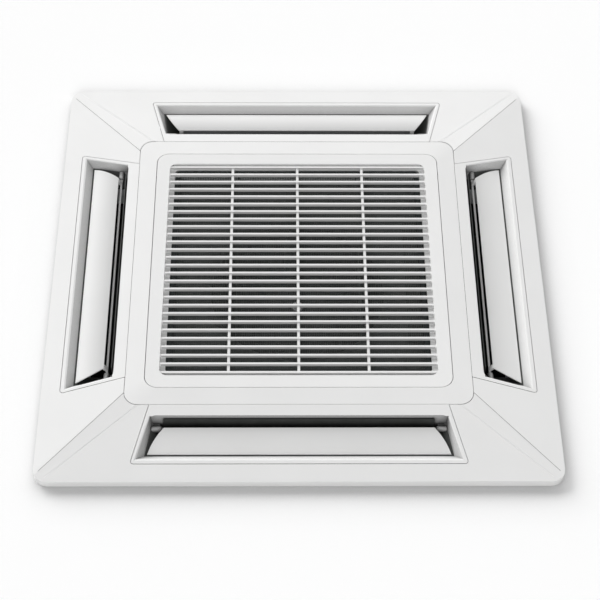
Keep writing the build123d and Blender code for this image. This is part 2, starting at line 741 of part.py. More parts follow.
def filter_frame():
    """Frame of the air filter with its stiffening bars."""
    low, top = filter_levels()
    outer = 2 * filter_half
    inner = outer - 2 * filter_rim
    frame = slab(outer, outer, 8.0, low, top) - slab(inner, inner, 5.0, low - 1, top + 1)
    bar_top = low + 3.0
    for index in range(filter_bars):
        at = (index - (filter_bars - 1) / 2) * inner / (filter_bars + 1)
        frame = frame + block(at - filter_bar_width / 2, at + filter_bar_width / 2, -inner / 2 - 1,
                              inner / 2 + 1, low, bar_top)
        frame = frame + block(-inner / 2 - 1, inner / 2 + 1, at - filter_bar_width / 2,
                              at + filter_bar_width / 2, low, bar_top)
    return frame


def filter_net():
    """Coarse stand-in for the woven net: one sheet with square gaps."""
    low, top = filter_levels()
    base = low + 3.0
    side = 2 * filter_half - 2 * filter_rim
    cell = (side - net_wire) / net_cells
    sheet_face = RectangleRounded(side, side, 5.0)
    gaps = GridLocations(cell, cell, net_cells, net_cells) * Rectangle(cell - net_wire, cell - net_wire)
    return extrude(Pos(0, 0, base) * (sheet_face - gaps), net_thickness)


# ---------------------------------------------------------------- touch latches
def latch_place(x):
    return x, -(half(grille_side) - groove / 2 - latch_inset)


def latch_housing(x):
    """Square body of a touch latch with a bore for its plunger."""
    x, y = latch_place(x)
    width, depth, height = latch_body
    top = latch_top_z()
    body = block(x - width / 2, x + width / 2, y - depth / 2, y + depth / 2, top - height, top)
    bore = rod(latch_plunger_radius + running_gap, height - 3, (x, y, top - height + 3), (0, 0, 1))
    return body - bore


def latch_plunger(x):
    """Plunger that the grille rests on; pressed in, it lets go."""
    x, y = latch_place(x)
    top = latch_top_z()
    stem = rod(latch_plunger_radius, 16.0 + latch_travel, (x, y, top - 16.0), (0, 0, 1))
    head = rod(latch_plunger_radius + 1.5, latch_flange - fit_gap, (x, y, top + latch_travel), (0, 0, 1))
    return stem + head


# ---------------------------------------------------------------- chassis
def casing():
    """Sheet-metal wall of the chassis, folded in along the top plate."""
    wall = octagon(0, sheet, casing_height) - octagon(sheet, 0, casing_height + 1)
    flange = octagon(sheet / 2, sheet, 2 * sheet) - octagon(casing_flange, 0, 3 * sheet)
    shell = wall + flange
    for offset, radius in ((pipe_offset_gas, gas_radius), (pipe_offset_liquid, liquid_radius)):
        shell = shell - at_corner(rod(radius + 4.0, 60.0, (corner_wall() - 30, offset, pipe_z), (1, 0, 0)))
    drain = rod(drain_outer_radius + fit_gap, 60.0, (corner_wall() - 30, drain_offset, drain_z), (1, 0, 0))
    return shell - at_corner(drain)


def corner_wall():
    """Distance of a cut corner's outer face from the fan's axis."""
    return (2 * casing_half - casing_chamfer) / math.sqrt(2)


def casing_top_plate():
    """Top plate with pressed stiffening beads round the motor's seat."""
    plate = octagon(0, 0, sheet)
    for index in range(8):
        bead = slab(bead_length, bead_width, bead_width / 2 - 0.1, sheet / 2, sheet + bead_height)
        plate = plate + Rot(0, 0, 45.0 * index + 22.5) * (Pos(bead_place, 0, 0) * bead)
    return plate


def insulation_liner():
    """Foam lining of the chassis: a floor with a hole for the motor, and walls."""
    low = sheet + bead_height + fit_gap
    top = casing_height - pan_depth - fit_gap
    outer = sheet + fit_gap
    walls = octagon(outer, low, top) - octagon(outer + liner_thickness, low - 1, top + 1)
    floor = octagon(outer + liner_thickness / 2, low, low + liner_floor)
    liner = walls + floor - rod(liner_bore, 40, (0, 0, 0), (0, 0, 1))
    for offset, radius in ((pipe_offset_gas, gas_radius), (pipe_offset_liquid, liquid_radius)):
        liner = liner - at_corner(rod(radius + 4.0, 80.0, (corner_wall() - 60, offset, pipe_z), (1, 0, 0)))
    drain = rod(drain_outer_radius + 1.0, 80.0, (corner_wall() - 60, drain_offset, drain_z), (1, 0, 0))
    return liner - at_corner(drain)


def drain_pan():
    """Foam pan: a trough under the coil, a seat for the bell mouth and four air ways."""
    low = casing_height - pan_depth
    pan = octagon(sheet + fit_gap, low, casing_height)
    pan = pan - slab(2 * pan_opening_half, 2 * pan_opening_half, 40.0, low - 1, casing_height + 1)
    pan = pan - slab(2 * pan_seat_half, 2 * pan_seat_half, 20.0, casing_height - pan_seat_depth,
                     casing_height + 1)
    trough = slab(2 * trough_outer_half, 2 * trough_outer_half, coil_corner + 11, low - 1,
                  low + trough_depth)
    trough = trough - slab(2 * trough_inner_half, 2 * trough_inner_half, 30.0, low - 2,
                           low + trough_depth + 1)
    sump = at_corner(rod(pump_radius + 8, trough_depth + 5, (pump_distance, 0, low - 1), (0, 0, 1)))
    screw = rod(2.0, 12.0, (foot_place, -foot_place, casing_height - 11), (0, 0, 1))
    return cut(pan - trough - sump, at_each_outlet(pan_air_way) + around(screw))


def pan_air_way(outlet):
    """Opening in the drain pan under an outlet."""
    return block(-outlet.throat, outlet.throat, -throat_outer_r, -throat_inner_r,
                 casing_height - pan_depth - 1, casing_height + 1)


def panel_screws():
    """Four screws that hold the panel's feet to the chassis."""
    top = casing_height + skin
    shank = rod(1.9, 13.0, (foot_place, -foot_place, top - 13.0), (0, 0, 1))
    head = rod(5.5, 3.0, (foot_place, -foot_place, top), (0, 0, 1))
    slot = block(foot_place - 3, foot_place + 3, -foot_place - 0.6, -foot_place + 0.6, top + 1.5, top + 4)
    return Compound(children=around(shank + head - slot))


def panel_seal(outlet):
    """Foam gasket between an outlet's duct and the chassis."""
    outer = block(-outlet.throat - seal_lip, outlet.throat + seal_lip, -throat_outer_r - seal_lip,
                  -throat_inner_r + seal_lip, casing_height, duct_end_z)
    inner = block(-outlet.throat, outlet.throat, -throat_outer_r, -throat_inner_r, casing_height - 1,
                  duct_end_z + 1)
    return outer - inner


# ---------------------------------------------------------------- coil
def coil_levels():
    low = sheet + bead_height + fit_gap + liner_floor
    return low, casing_height - pan_depth + trough_depth


def coil():
    """Finned block bent round the fan, open at the pipe corner."""
    low, top = coil_levels()
    outer = 2 * coil_outer_half
    inner = outer - 2 * coil_thickness
    ring = slab(outer, outer, coil_corner, low, top)
    ring = ring - slab(inner, inner, coil_corner - coil_thickness, low - 1, top + 1)
    return ring - block(coil_end, 2 * coil_outer_half, coil_end, 2 * coil_outer_half, 0, casing_height)


def coil_end_plates():
    """Steel plates at the coil's two ends."""
    low, top = coil_levels()
    inner = coil_outer_half - coil_thickness
    right = block(inner, coil_outer_half, coil_end, coil_end + end_plate, low, top)
    back = block(coil_end, coil_end + end_plate, inner, coil_outer_half, low, top)
    return Compound(children=[right, back])


def return_bend(z):
    """One hairpin end of the coil's copper tube, at the right end plate."""
    y = coil_end + end_plate
    middle = coil_outer_half - coil_thickness / 2
    gap = coil_thickness / 4
    legs = [rod(tube_radius, bend_reach, (middle + side, y, z), (0, 1, 0)) for side in (-gap, gap)]
    section = Plane(origin=(middle + gap, y + bend_reach, z), z_dir=(0, 1, 0)) * Circle(tube_radius)
    axis = Axis((middle, y + bend_reach, z), (0, 0, 1))
    return revolve(section, axis, 180) + legs[0] + legs[1]


def bend_levels():
    low, top = coil_levels()
    first = (low + top) / 2 - (bend_count - 1) * bend_pitch / 2
    return [first + index * bend_pitch for index in range(bend_count)]


def return_bends():
    return Compound(children=[return_bend(z) for z in bend_levels()])


def piped(points, bend, radius, wall=0.0):
    """Pipe along straight runs joined by arcs."""
    path = FilletPolyline(*points, radius=bend)
    section = Circle(radius) - Circle(radius - wall) if wall > 0 else Circle(radius)
    return sweep(Plane(origin=path @ 0, z_dir=path % 0) * section, path=path)


def corner_run(header_x, header_y, offset, radius):
    """Copper pipe from a header at the back end of the coil out through the cut corner."""
    start = Vector(header_x, header_y).rotate(Axis.Z, -45)
    turn = start.X + abs(start.Y - offset)
    end = corner_wall() + pipe_stub + nut_gap
    run = piped([(start.X, start.Y, pipe_z), (turn, offset, pipe_z), (end, offset, pipe_z)],
                3 * radius, radius)
    bore = rod(radius - pipe_wall, pipe_bore + 1, (end - pipe_bore, offset, pipe_z), (1, 0, 0))
    return at_corner(run - bore)


def header(x, y, radius, stub_radius, levels):
    """Upright header pipe with a stub to the coil at each level."""
    low, high = min(levels) - 12, max(levels) + 12
    pipe = rod(radius, high - low, (x, y, low), (0, 0, 1))
    for z in levels:
        pipe = pipe + rod(stub_radius, x - coil_end - end_plate, (coil_end + end_plate, y, z), (1, 0, 0))
    return pipe


def gas_pipe():
    """Gas header and its pipe out of the chassis."""
    x = coil_end + end_plate + 20.0
    y = coil_outer_half - coil_thickness * 0.75
    return header(x, y, gas_radius, tube_radius, bend_levels()[1::2]) + corner_run(
        x, y, pipe_offset_gas, gas_radius)


def liquid_pipe():
    """Liquid header and its pipe out of the chassis."""
    x = coil_end + end_plate + 12.0
    y = coil_outer_half - coil_thickness / 4
    return header(x, y, liquid_radius, 2.5, bend_levels()[::2]) + corner_run(
        x, y, pipe_offset_liquid, liquid_radius)


def flare_nut(offset, radius):
    """Hexagonal nut on a pipe stub, behind its union."""
    start = corner_wall() + pipe_stub - nut_length
    hexagon = Plane(origin=(start, offset, pipe_z), z_dir=(1, 0, 0)) * RegularPolygon(radius * 1.75, 6)
    return extrude(hexagon, nut_length) - rod(radius, nut_length + 4, (start - 2, offset, pipe_z), (1, 0, 0))


def flare_union(offset, radius, nose_radius):
    """Brass nose at a pipe's end that the field pipe's own nut screws on to."""
    start = corner_wall() + pipe_stub + nut_gap
    nose = tube(nose_radius, radius - pipe_wall, union_length, (start, offset, pipe_z), (1, 0, 0))
    return at_corner(nose)


# ---------------------------------------------------------------- fan
def hub_curve(lift):
    """Upper line of the fan's back plate, moved up by a lift, as points (radius, height)."""
    return [(fan_radius, fan_back_z + lift), (185.0, fan_back_z + 4 + lift), (112.0, fan_back_z + 38 + lift),
            (84.0, hub_crown_z - 12 + lift), (60.0, hub_crown_z + lift),
            (hub_boss_radius - 1, hub_crown_z + lift)]


def fan_hub():
    """Back plate with a raised crown round the motor, the shaft boss and curved blades."""
    top, low = hub_curve(fan_wall), hub_curve(0)
    outline = Polyline(*top, *reversed(low), close=True)
    plate = revolve(Plane.XZ * make_face(outline), Axis.Z)
    boss = rod(hub_boss_radius, hub_boss_height, (0, 0, hub_crown_z - 12), (0, 0, 1))
    body = plate + boss
    room = Polyline(*hub_curve(fan_wall / 2), (hub_boss_radius, fan_top_z - shroud_neck),
                    *shroud_curve()[1:], close=True)
    region = revolve(Plane.XZ * make_face(room), Axis.Z)
    region = region - rod(blade_in_radius, 2 * fan_top_z, (0, 0, 0), (0, 0, 1))
    for index in range(fan_blades):
        body = body + (Rot(0, 0, 360.0 / fan_blades * index) * fan_blade() & region)
    return body - rod(shaft_radius, fan_top_z, (0, 0, 0), (0, 0, 1))


def fan_blade():
    """Backward-curved blade, before it is trimmed to the back plate and shroud."""
    start = Vector(blade_in_radius - 2, 0)
    middle = Vector((blade_in_radius + fan_radius) / 2 + 8, 0).rotate(Axis.Z, -14)
    end = Vector(fan_radius - 2, 0).rotate(Axis.Z, -38)
    line = ThreePointArc(start, middle, end)
    sides = []
    for shift in (-blade_wall / 2, blade_wall / 2):
        points = [line @ at + (line % at).rotate(Axis.Z, 90) * shift for at in (0, 0.5, 1)]
        sides.append(ThreePointArc(*points))
    low, high = sides
    face = make_face([low, Line(low @ 1, high @ 1), high, Line(high @ 0, low @ 0)])
    return extrude(Pos(0, 0, fan_back_z) * face, fan_top_z - fan_back_z)


def shroud_curve():
    """Inner line of the fan's front ring, as points (radius, height)."""
    return [(eye_radius, fan_top_z), (eye_radius, fan_top_z - shroud_neck),
            (eye_radius + 14, fan_shroud_z + 10),
            (fan_radius, fan_shroud_z)]


def fan_shroud():
    """Flared front ring of the fan."""
    low = shroud_curve()
    high = [(eye_radius + fan_wall, fan_top_z), (eye_radius + fan_wall, fan_top_z - shroud_neck + 1),
            (eye_radius + 14.5, fan_shroud_z + 10 + fan_wall), (fan_radius, fan_shroud_z + fan_wall)]
    return revolve(Plane.XZ * make_face(Polyline(*low, *reversed(high), close=True)), Axis.Z)


def motor_shaft():
    """Steel shaft from the motor up through the fan's boss."""
    start = fan_motor_base_z + fan_motor_height - 30
    end = hub_crown_z - 12 + hub_boss_height + 14
    return rod(shaft_radius, end - start, (0, 0, start), (0, 0, 1))


def fan_nut():
    """Nut that holds the fan on the shaft."""
    low = hub_crown_z - 12 + hub_boss_height
    nut = extrude(Pos(0, 0, low) * RegularPolygon(12.0, 6), 9.0)
    return nut - rod(shaft_radius, 20, (0, 0, low - 1), (0, 0, 1))


def fan_motor():
    """Round motor with a bearing nose and four ears on the rubber grommets."""
    base, height = fan_motor_base_z, fan_motor_height
    can = rod(fan_motor_radius, height - 12, (0, 0, base), (0, 0, 1))
    can = fillet(can.edges().filter_by(GeomType.CIRCLE).group_by(Axis.Z)[-1], 8.0)
    nose = rod(24.0, 12.0, (0, 0, base + height - 12), (0, 0, 1))
    motor = can + nose
    for index in range(4):
        ear = Rot(0, 0, 90.0 * index + 45) * (
            block(50.0, mount_pcd_radius, -9, 9, base, base + 3)
            + rod(9.0, 3.0, (mount_pcd_radius, 0, base), (0, 0, 1))
            - rod(grommet_bore, 9.0, (mount_pcd_radius, 0, base - 3), (0, 0, 1)))
        motor = motor + ear
    return motor - rod(shaft_radius + running_gap, 31.0, (0, 0, base + height - 30.5), (0, 0, 1))


def motor_mount():
    """Pressed plate on the casing's top plate with four posts for the grommets."""
    low = sheet
    plate = rod(110.0, 2.0, (0, 0, low), (0, 0, 1))
    for index in range(4):
        turn = Rot(0, 0, 90.0 * index + 45)
        plate = plate + turn * rod(mount_post_radius, fan_motor_base_z - 8 - low, (mount_pcd_radius, 0, low),
                                   (0, 0, 1))
        plate = plate + turn * rod(grommet_bore - 0.5, fan_motor_base_z + 6 - low, (mount_pcd_radius, 0, low),
                                   (0, 0, 1))
    return plate


def motor_grommets():
    """Rubber rings between the motor's ears and the posts."""
    low = fan_motor_base_z - 8
    ring = rod(grommet_radius, 8.0, (mount_pcd_radius, 0, low), (0, 0, 1))
    ring = ring - rod(grommet_bore - 0.5, 12.0, (mount_pcd_radius, 0, low - 2), (0, 0, 1))
    return Compound(children=[Rot(0, 0, 90.0 * index + 45) * ring for index in range(4)])


def bell_mouth():
    """Square inlet plate that rolls into a round throat over the fan's eye."""
    top = casing_height - pan_seat_depth + bell_plate + fit_gap
    plate = slab(2 * bell_half, 2 * bell_half, 19.0, top - bell_plate, top)
    roll = bell_mouth_radius - bell_throat_radius
    wall = bell_plate
    outer = [(bell_mouth_radius, top), (bell_throat_radius, top - roll), (bell_throat_radius, top - bell_depth)]
    inner_arc = RadiusArc(outer[0], outer[1], -roll)
    outer_arc = RadiusArc((bell_throat_radius + wall, top - roll), (bell_mouth_radius, top - wall), roll - wall)
    lines = [inner_arc, Line(outer[1], outer[2]),
             Line(outer[2], (bell_throat_radius + wall, top - bell_depth)),
             Line((bell_throat_radius + wall, top - bell_depth), (bell_throat_radius + wall, top - roll)),
             outer_arc, Line((bell_mouth_radius, top - wall), outer[0])]
    horn = revolve(Plane.XZ * make_face(lines), Axis.Z)
    plate = plate - rod(bell_mouth_radius, 20, (0, 0, top - 10), (0, 0, 1))
    pocket = block(box_x[0] - fit_gap, box_x[1] + fit_gap, -box_half - fit_gap, box_half + fit_gap,
                   top - 10, top + 5)
    return plate + horn - pocket


# ---------------------------------------------------------------- electrics
def box_levels():
    plate_top = casing_height - pan_seat_depth + bell_plate + fit_gap
    return plate_top - box_depth, plate_top + box_rise


def control_box():
    """Sheet-metal tray let into the inlet plate, with a flange that rests on it."""
    low, top = box_levels()
    plate_top = top - box_rise
    tray = block(box_x[0], box_x[1], -box_half, box_half, low, top)
    tray = tray - block(box_x[0] + box_sheet, box_x[1] - box_sheet, -box_half + box_sheet,
                        box_half - box_sheet, low + box_sheet, top + 1)
    for sign in (-1, 1):
        y0, y1 = sorted((sign * (box_half - 0.5), sign * (box_half + 12)))
        tab = block(box_x[0], box_x[1], y0, y1, plate_top, plate_top + box_sheet)
        tray = tray + tab - rod(2.0, 6, ((box_x[0] + box_x[1]) / 2, sign * (box_half + 6), plate_top - 2),
                                (0, 0, 1))
    return tray


def control_box_lid():
    """Lid with turned-down edges over the tray."""
    low, top = box_levels()
    lid = block(box_x[0] - box_sheet - fit_gap, box_x[1] + box_sheet + fit_gap,
                -box_half - box_sheet - fit_gap, box_half + box_sheet + fit_gap, top - 7, top + box_sheet)
    return lid - block(box_x[0] - fit_gap, box_x[1] + fit_gap, -box_half - fit_gap, box_half + fit_gap,
                       top - 8, top)


def circuit_board():
    """Board with its tall parts, on four stand-offs in the tray."""
    low, top = box_levels()
    x0, x1 = box_x[0] + 4, box_x[1] - 4
    base = low + box_sheet
    board = block(x0, x1, -box_half + 40, box_half - 8, base + 6, base + 7.6)
    for x in (x0 + 3, x1 - 3):
        for y in (-box_half + 44, box_half - 12):
            board = board + rod(2.0, 6.5, (x, y, base), (0, 0, 1))
    parts = [((x0 + 8, 110.0), 6.5, 18.0), ((x0 + 8, 92.0), 6.5, 18.0), ((x1 - 8, 60.0), 5.0, 14.0)]
    for (x, y), radius, height in parts:
        board = board + rod(radius, height, (x, y, base + 7), (0, 0, 1))
    board = board + block(x0 + 2, x0 + 18, -20, 16, base + 7, base + 23)
    board = board + block(x0 + 4, x1 - 4, -80, -52, base + 7, base + 17)
    return board


def terminal_block():
    """Row of terminals at the near end of the tray."""
    low, top = box_levels()
    base = low + box_sheet
    x0, x1 = box_x[0] + 6, box_x[1] - 6
    strip = block(x0, x1, -box_half + 6, -box_half + 34, base, base + 12)
    for index in range(4):
        y = -box_half + 9.5 + index * 7.0
        strip = strip - block(x0 + 3, x1 - 3, y - 0.1, y + 3.6, base + 7, base + 14)
    return strip


# ---------------------------------------------------------------- drain
def drain_pump():
    """Pump over the pan's sump, with its outlet towards the cut corner."""
    top = pump_foot_z
    low = top - pump_height
    body = rod(pump_radius, pump_height - 18, (pump_distance, 0, low), (0, 0, 1))
    volute = rod(pump_radius - 6, 14, (pump_distance, 0, top - 18), (0, 0, 1))
    inlet = rod(9.0, 10, (pump_distance, 0, top - 6), (0, 0, 1))
    cap = rod(pump_radius - 7, pump_cap, (pump_distance, 0, low - pump_cap), (0, 0, 1))
    outlet_start = (pump_distance, pump_radius - 8, top - 24)
    outlet = rod(drain_bore - hose_wall - 2 * fit_gap, 20, outlet_start, (0, 1, 0))
    return at_corner(body + volute + inlet + cap + outlet)


def pump_bracket():
    """Arm from the cut corner's wall that holds the pump and the float switch."""
    top = pump_foot_z - pump_height - pump_cap
    low = pump_foot_z - pump_height - bracket_drop
    inner_wall = corner_wall() - sheet - fit_gap - liner_thickness
    ends = (-float_offset - 12, pump_radius + 4)
    plate = block(pump_distance - pump_radius - 7, inner_wall, *ends, low, top)
    tail = block(inner_wall - bracket_sheet, inner_wall, *ends, low, low + 38)
    stem_hole = rod(stem_radius, 20, (pump_distance, -float_offset, low - 8), (0, 0, 1))
    return at_corner(plate + tail - stem_hole)


def float_stem():
    """Stem of the float switch, with a collar at each end of its float's travel."""
    low = pump_foot_z - pump_height - bracket_drop
    place = (pump_distance, -float_offset)
    stem = rod(stem_radius, stem_length, (*place, low), (0, 0, 1))
    for z in (float_top() + fit_gap, float_top() - float_height - float_travel - fit_gap - collar_height):
        stem = stem + rod(stem_radius + 3, collar_height, (*place, z), (0, 0, 1))
    return at_corner(stem + rod(7.0, 6.0, (*place, low - 6.0), (0, 0, 1)))


def float_top():
    """Top of the float, which rests against the stem's end collar."""
    return pump_foot_z - pump_height - bracket_drop + stem_length - collar_height - fit_gap


def float_ring():
    """Foam float that slides on the stem."""
    ring = tube(float_radius, stem_radius + running_gap, float_height,
                (pump_distance, -float_offset, float_top() - float_height), (0, 0, 1))
    return at_corner(ring)


def drain_socket():
    """Outlet stub for the drain hose, through the cut corner."""
    inner = corner_wall() - sheet - fit_gap - liner_thickness - 12
    end = corner_wall() + drain_stub
    stub_start = corner_wall() + drain_neck
    neck = tube(drain_outer_radius - 0.6, drain_bore, stub_start - inner, (inner, drain_offset, drain_z),
                (1, 0, 0))
    stub = tube(drain_outer_radius, drain_bore, end - stub_start, (stub_start, drain_offset, drain_z),
                (1, 0, 0))
    collar = tube(drain_outer_radius + 4, drain_bore, 3.0, (corner_wall(), drain_offset, drain_z), (1, 0, 0))
    return at_corner(neck + stub + collar)


def drain_riser():
    """Hose from the pump up to the drain socket."""
    start_y = pump_radius + 6
    z0 = pump_foot_z - 24
    inner = corner_wall() - sheet - fit_gap - liner_thickness - 12
    points = [(pump_distance, start_y, z0), (pump_distance, drain_offset, z0),
              (pump_distance, drain_offset, drain_z), (inner + 20, drain_offset, drain_z)]
    return at_corner(piped(points, hose_bend, drain_bore - fit_gap, hose_wall))


# ---------------------------------------------------------------- hangers and partition
def hanger():
    """Bracket with a slot for a hanging bolt, at the front right cut corner."""
    wall = corner_wall()
    bolt = Vector(hanger_x, -hanger_y).rotate(Axis.Z, 45)
    y0, y1 = bolt.Y - hanger_width / 2, bolt.Y + hanger_width / 2
    back = block(wall, wall + hanger_sheet, y0, y1, hanger_z, hanger_z + hanger_height)
    shelf = block(wall, wall + hanger_reach, y0, y1, hanger_z, hanger_z + hanger_sheet)
    shelf = fillet(shelf.edges().filter_by(Axis.Z).sort_by(Axis.X)[-2:], 8.0)
    bracket = back + shelf
    for y in (y0, y1 - hanger_sheet):
        side = Plane.XZ.offset(-y - hanger_sheet) * make_face(Polyline(
            (wall, hanger_z), (wall + hanger_reach - 10, hanger_z), (wall, hanger_z + hanger_height),
            close=True))
        bracket = bracket + extrude(side, hanger_sheet)
    slot = Pos(hanger_x, -hanger_y, hanger_z - 5) * SlotOverall(hanger_slot_length, hanger_slot)
    return Rot(0, 0, -45) * bracket - extrude(slot, 20)


def hanger_brackets():
    one = hanger()
    other = mirror(one, Plane.YZ)
    return Compound(children=[one, other, mirror(one, Plane.XZ), mirror(other, Plane.XZ)])


def coil_partition():
    """Sheet that closes the gap between the coil's ends inside the pipe corner."""
    low, top = coil_levels()
    lap_x = coil_outer_half - coil_thickness + partition_lap
    lap_y = coil_end + end_plate + fit_gap
    distance = (lap_x + lap_y) / math.sqrt(2)
    reach = (lap_x - lap_y) / math.sqrt(2)
    top = casing_height - pan_depth - fit_gap
    return at_corner(block(distance, distance + partition_sheet, -reach, reach, low, top))


# ---------------------------------------------------------------- the parts
def build_all():
    parts = {"panel_frame": panel_frame(), "surround_ring": surround_ring()}
    for maker in (outlet_frame, louvre, louvre_motor):
        for name, solid in zip(SIDES, at_each_outlet(maker)):
            parts[maker.__name__ + "_" + name] = solid
    parts["duct_linings"] = Compound(children=at_each_outlet(duct_lining))
    parts["panel_seals"] = Compound(children=at_each_outlet(panel_seal))
    parts["intake_grille"] = intake_grille()
    parts["grille_hinge_pins"] = grille_hinge_pins()
    parts["filter_frame"] = filter_frame()
    parts["filter_net"] = filter_net()
    for name, x in (("left", -latch_x), ("right", latch_x)):
        parts["latch_housing_" + name] = latch_housing(x)
        parts["latch_plunger_" + name] = latch_plunger(x)
    for maker in (casing, casing_top_plate, insulation_liner, drain_pan, panel_screws,
                  coil, coil_end_plates, return_bends, coil_partition, fan_hub, fan_shroud, motor_shaft,
                  fan_nut, fan_motor, motor_mount, motor_grommets, bell_mouth, control_box,
                  control_box_lid, circuit_board, terminal_block, drain_pump, pump_bracket, float_stem,
                  float_ring, drain_socket, drain_riser, hanger_brackets):
        parts[maker.__name__] = maker()
    parts["gas_pipe"] = gas_pipe()
    parts["liquid_pipe"] = liquid_pipe()
    parts["gas_flare_nut"] = at_corner(flare_nut(pipe_offset_gas, gas_radius))
    parts["liquid_flare_nut"] = at_corner(flare_nut(pipe_offset_liquid, liquid_radius))
    parts["gas_union"] = flare_union(pipe_offset_gas, gas_radius, gas_union_radius)
    parts["liquid_union"] = flare_union(pipe_offset_liquid, liquid_radius, liquid_union_radius)
    return parts


os.makedirs("parts", exist_ok=True)
for part_name, shape in build_all().items():
    export_step(shape, "parts/" + part_name + ".step")
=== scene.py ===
import json
import math

import bmesh
import bpy
from mathutils import Matrix, Vector


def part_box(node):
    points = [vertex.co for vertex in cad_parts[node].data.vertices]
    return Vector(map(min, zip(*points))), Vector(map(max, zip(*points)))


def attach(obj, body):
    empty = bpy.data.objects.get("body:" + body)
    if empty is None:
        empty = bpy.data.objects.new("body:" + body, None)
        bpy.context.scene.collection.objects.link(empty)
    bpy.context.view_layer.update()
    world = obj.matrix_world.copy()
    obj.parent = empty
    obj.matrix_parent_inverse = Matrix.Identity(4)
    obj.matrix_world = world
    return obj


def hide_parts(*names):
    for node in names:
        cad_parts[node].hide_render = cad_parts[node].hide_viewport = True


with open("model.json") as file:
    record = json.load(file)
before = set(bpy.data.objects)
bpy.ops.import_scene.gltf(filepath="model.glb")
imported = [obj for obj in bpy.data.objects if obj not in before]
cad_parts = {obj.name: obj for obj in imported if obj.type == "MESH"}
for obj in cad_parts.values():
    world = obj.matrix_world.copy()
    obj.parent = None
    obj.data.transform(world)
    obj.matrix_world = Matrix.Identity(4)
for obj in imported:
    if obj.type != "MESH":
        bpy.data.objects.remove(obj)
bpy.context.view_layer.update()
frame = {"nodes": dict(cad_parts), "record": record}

SIDES = ("front", "right", "back", "left")
TURNS = {"front": -90.0, "right": 0.0, "back": 90.0, "left": 180.0}   # from the right side

CEILING_Z = 0.236        # the plane the panel lies against
RIM_Z = 0.252
CASING_HALF = 0.420
CORNER_WALL = 0.4879037   # a cut corner's face, from the fan's axis
HANGER_FACE = CORNER_WALL + 0.0025
HANGER_MIDDLE = 0.0353553   # a hanger bracket's middle, along its cut corner
UNION_START = CORNER_WALL + 0.033
PIPE_Z = 0.110
FACET_SLOPE = 0.0870
RECESS_HALF = 0.2585       # the grille's sunk field of slats
MITRE_SLOPE, MITRE_START = 1.0931, -0.0559   # the corner joints, |y| against |x|
BLADE_INNER, BLADE_OUTER = 0.363, 0.4145     # a louvre's edges, from the fan's axis


# ---------------------------------------------------------------- node helpers
def feed(tree, node, values):
    """Fills a node's inputs in order with sockets or plain numbers, and returns its result."""
    for socket, value in zip(node.inputs, values):
        if isinstance(value, (int, float)):
            socket.default_value = value
        else:
            tree.links.new(value, socket)
    return node.outputs[0]


def maths(tree, operation, *values):
    node = tree.nodes.new("ShaderNodeMath")
    node.operation = operation
    return feed(tree, node, values)


# ---------------------------------------------------------------- camera
def look_through_photo_lens():
    """Camera at the photograph's place: 54 degrees down on the panel, nearly square to its front edge."""
    focal = 1595.9
    picture = 600.0
    down, turn, lean = math.radians(53.668), math.radians(1.191), math.radians(0.958)
    target = Vector((0.00353, -0.07463, RIM_Z))
    distance = 3.0694
    ahead = Vector((math.sin(turn) * math.cos(down), math.cos(turn) * math.cos(down), -math.sin(down)))
    level = Vector((math.cos(turn), -math.sin(turn), 0.0))
    upright = level.cross(ahead)
    right = level * math.cos(lean) + upright * math.sin(lean)
    up = upright * math.cos(lean) - level * math.sin(lean)
    lens = bpy.data.cameras.new("photo_camera")
    lens.sensor_width = 36.0
    lens.lens = focal / picture * lens.sensor_width
    lens.clip_start = 0.05
    lens.clip_end = 50.0
    camera = bpy.data.objects.new("photo_camera", lens)
    bpy.context.scene.collection.objects.link(camera)
    place = Matrix((right, up, -ahead)).transposed().to_4x4()
    place.translation = target - ahead * distance
    camera.matrix_world = place
    bpy.context.scene.camera = camera


# ---------------------------------------------------------------- lights
def soft_sun(name, azimuth, height, spread, share):
    """Far soft lamp that gives a level surface its share of full light.

    Azimuth is where the light comes from: 0 is the front (-Y), 90 the right, 180 the back.
    """
    lamp = bpy.data.lights.new(name, "SUN")
    lamp.angle = math.radians(spread)
    lamp.energy = share * math.pi / math.sin(math.radians(height))
    holder = bpy.data.objects.new(name, lamp)
    bpy.context.scene.collection.objects.link(holder)
    holder.rotation_euler = (math.radians(90.0 - height), 0.0, math.radians(azimuth))


def studio_lights():
    """Four soft lamps, and a world that lights weakly but is seen and mirrored as white."""
    soft_sun("back_light", 180.0, 25.0, 44.0, 0.165)
    soft_sun("window_light", 222.0, 21.0, 38.0, 0.36)
    soft_sun("right_fill", 135.0, 30.0, 45.0, 0.05)
    soft_sun("front_fill", 0.0, 34.0, 42.0, 0.29)
    world = bpy.data.worlds.new("studio_world")
    bpy.context.scene.world = world
    world.use_nodes = True
    tree = world.node_tree
    back = tree.nodes["Background"]
    light_path = tree.nodes.new("ShaderNodeLightPath")
    seen = tree.nodes.new("ShaderNodeBackground")
    seen.inputs["Color"].default_value = (1.0, 1.0, 1.0, 1.0)
    seen.inputs["Strength"].default_value = 1.0
    back.inputs["Color"].default_value = (1.0, 1.0, 1.0, 1.0)
    back.inputs["Strength"].default_value = 0.12
    direct = maths(tree, "MAXIMUM", light_path.outputs["Is Camera Ray"], light_path.outputs["Is Glossy Ray"])
    direct = maths(tree, "MAXIMUM", direct, light_path.outputs["Is Transmission Ray"])
    mix = tree.nodes.new("ShaderNodeMixShader")
    tree.links.new(direct, mix.inputs[0])
    tree.links.new(back.outputs[0], mix.inputs[1])
    tree.links.new(seen.outputs[0], mix.inputs[2])
    tree.links.new(mix.outputs[0], tree.nodes["World Output"].inputs["Surface"])


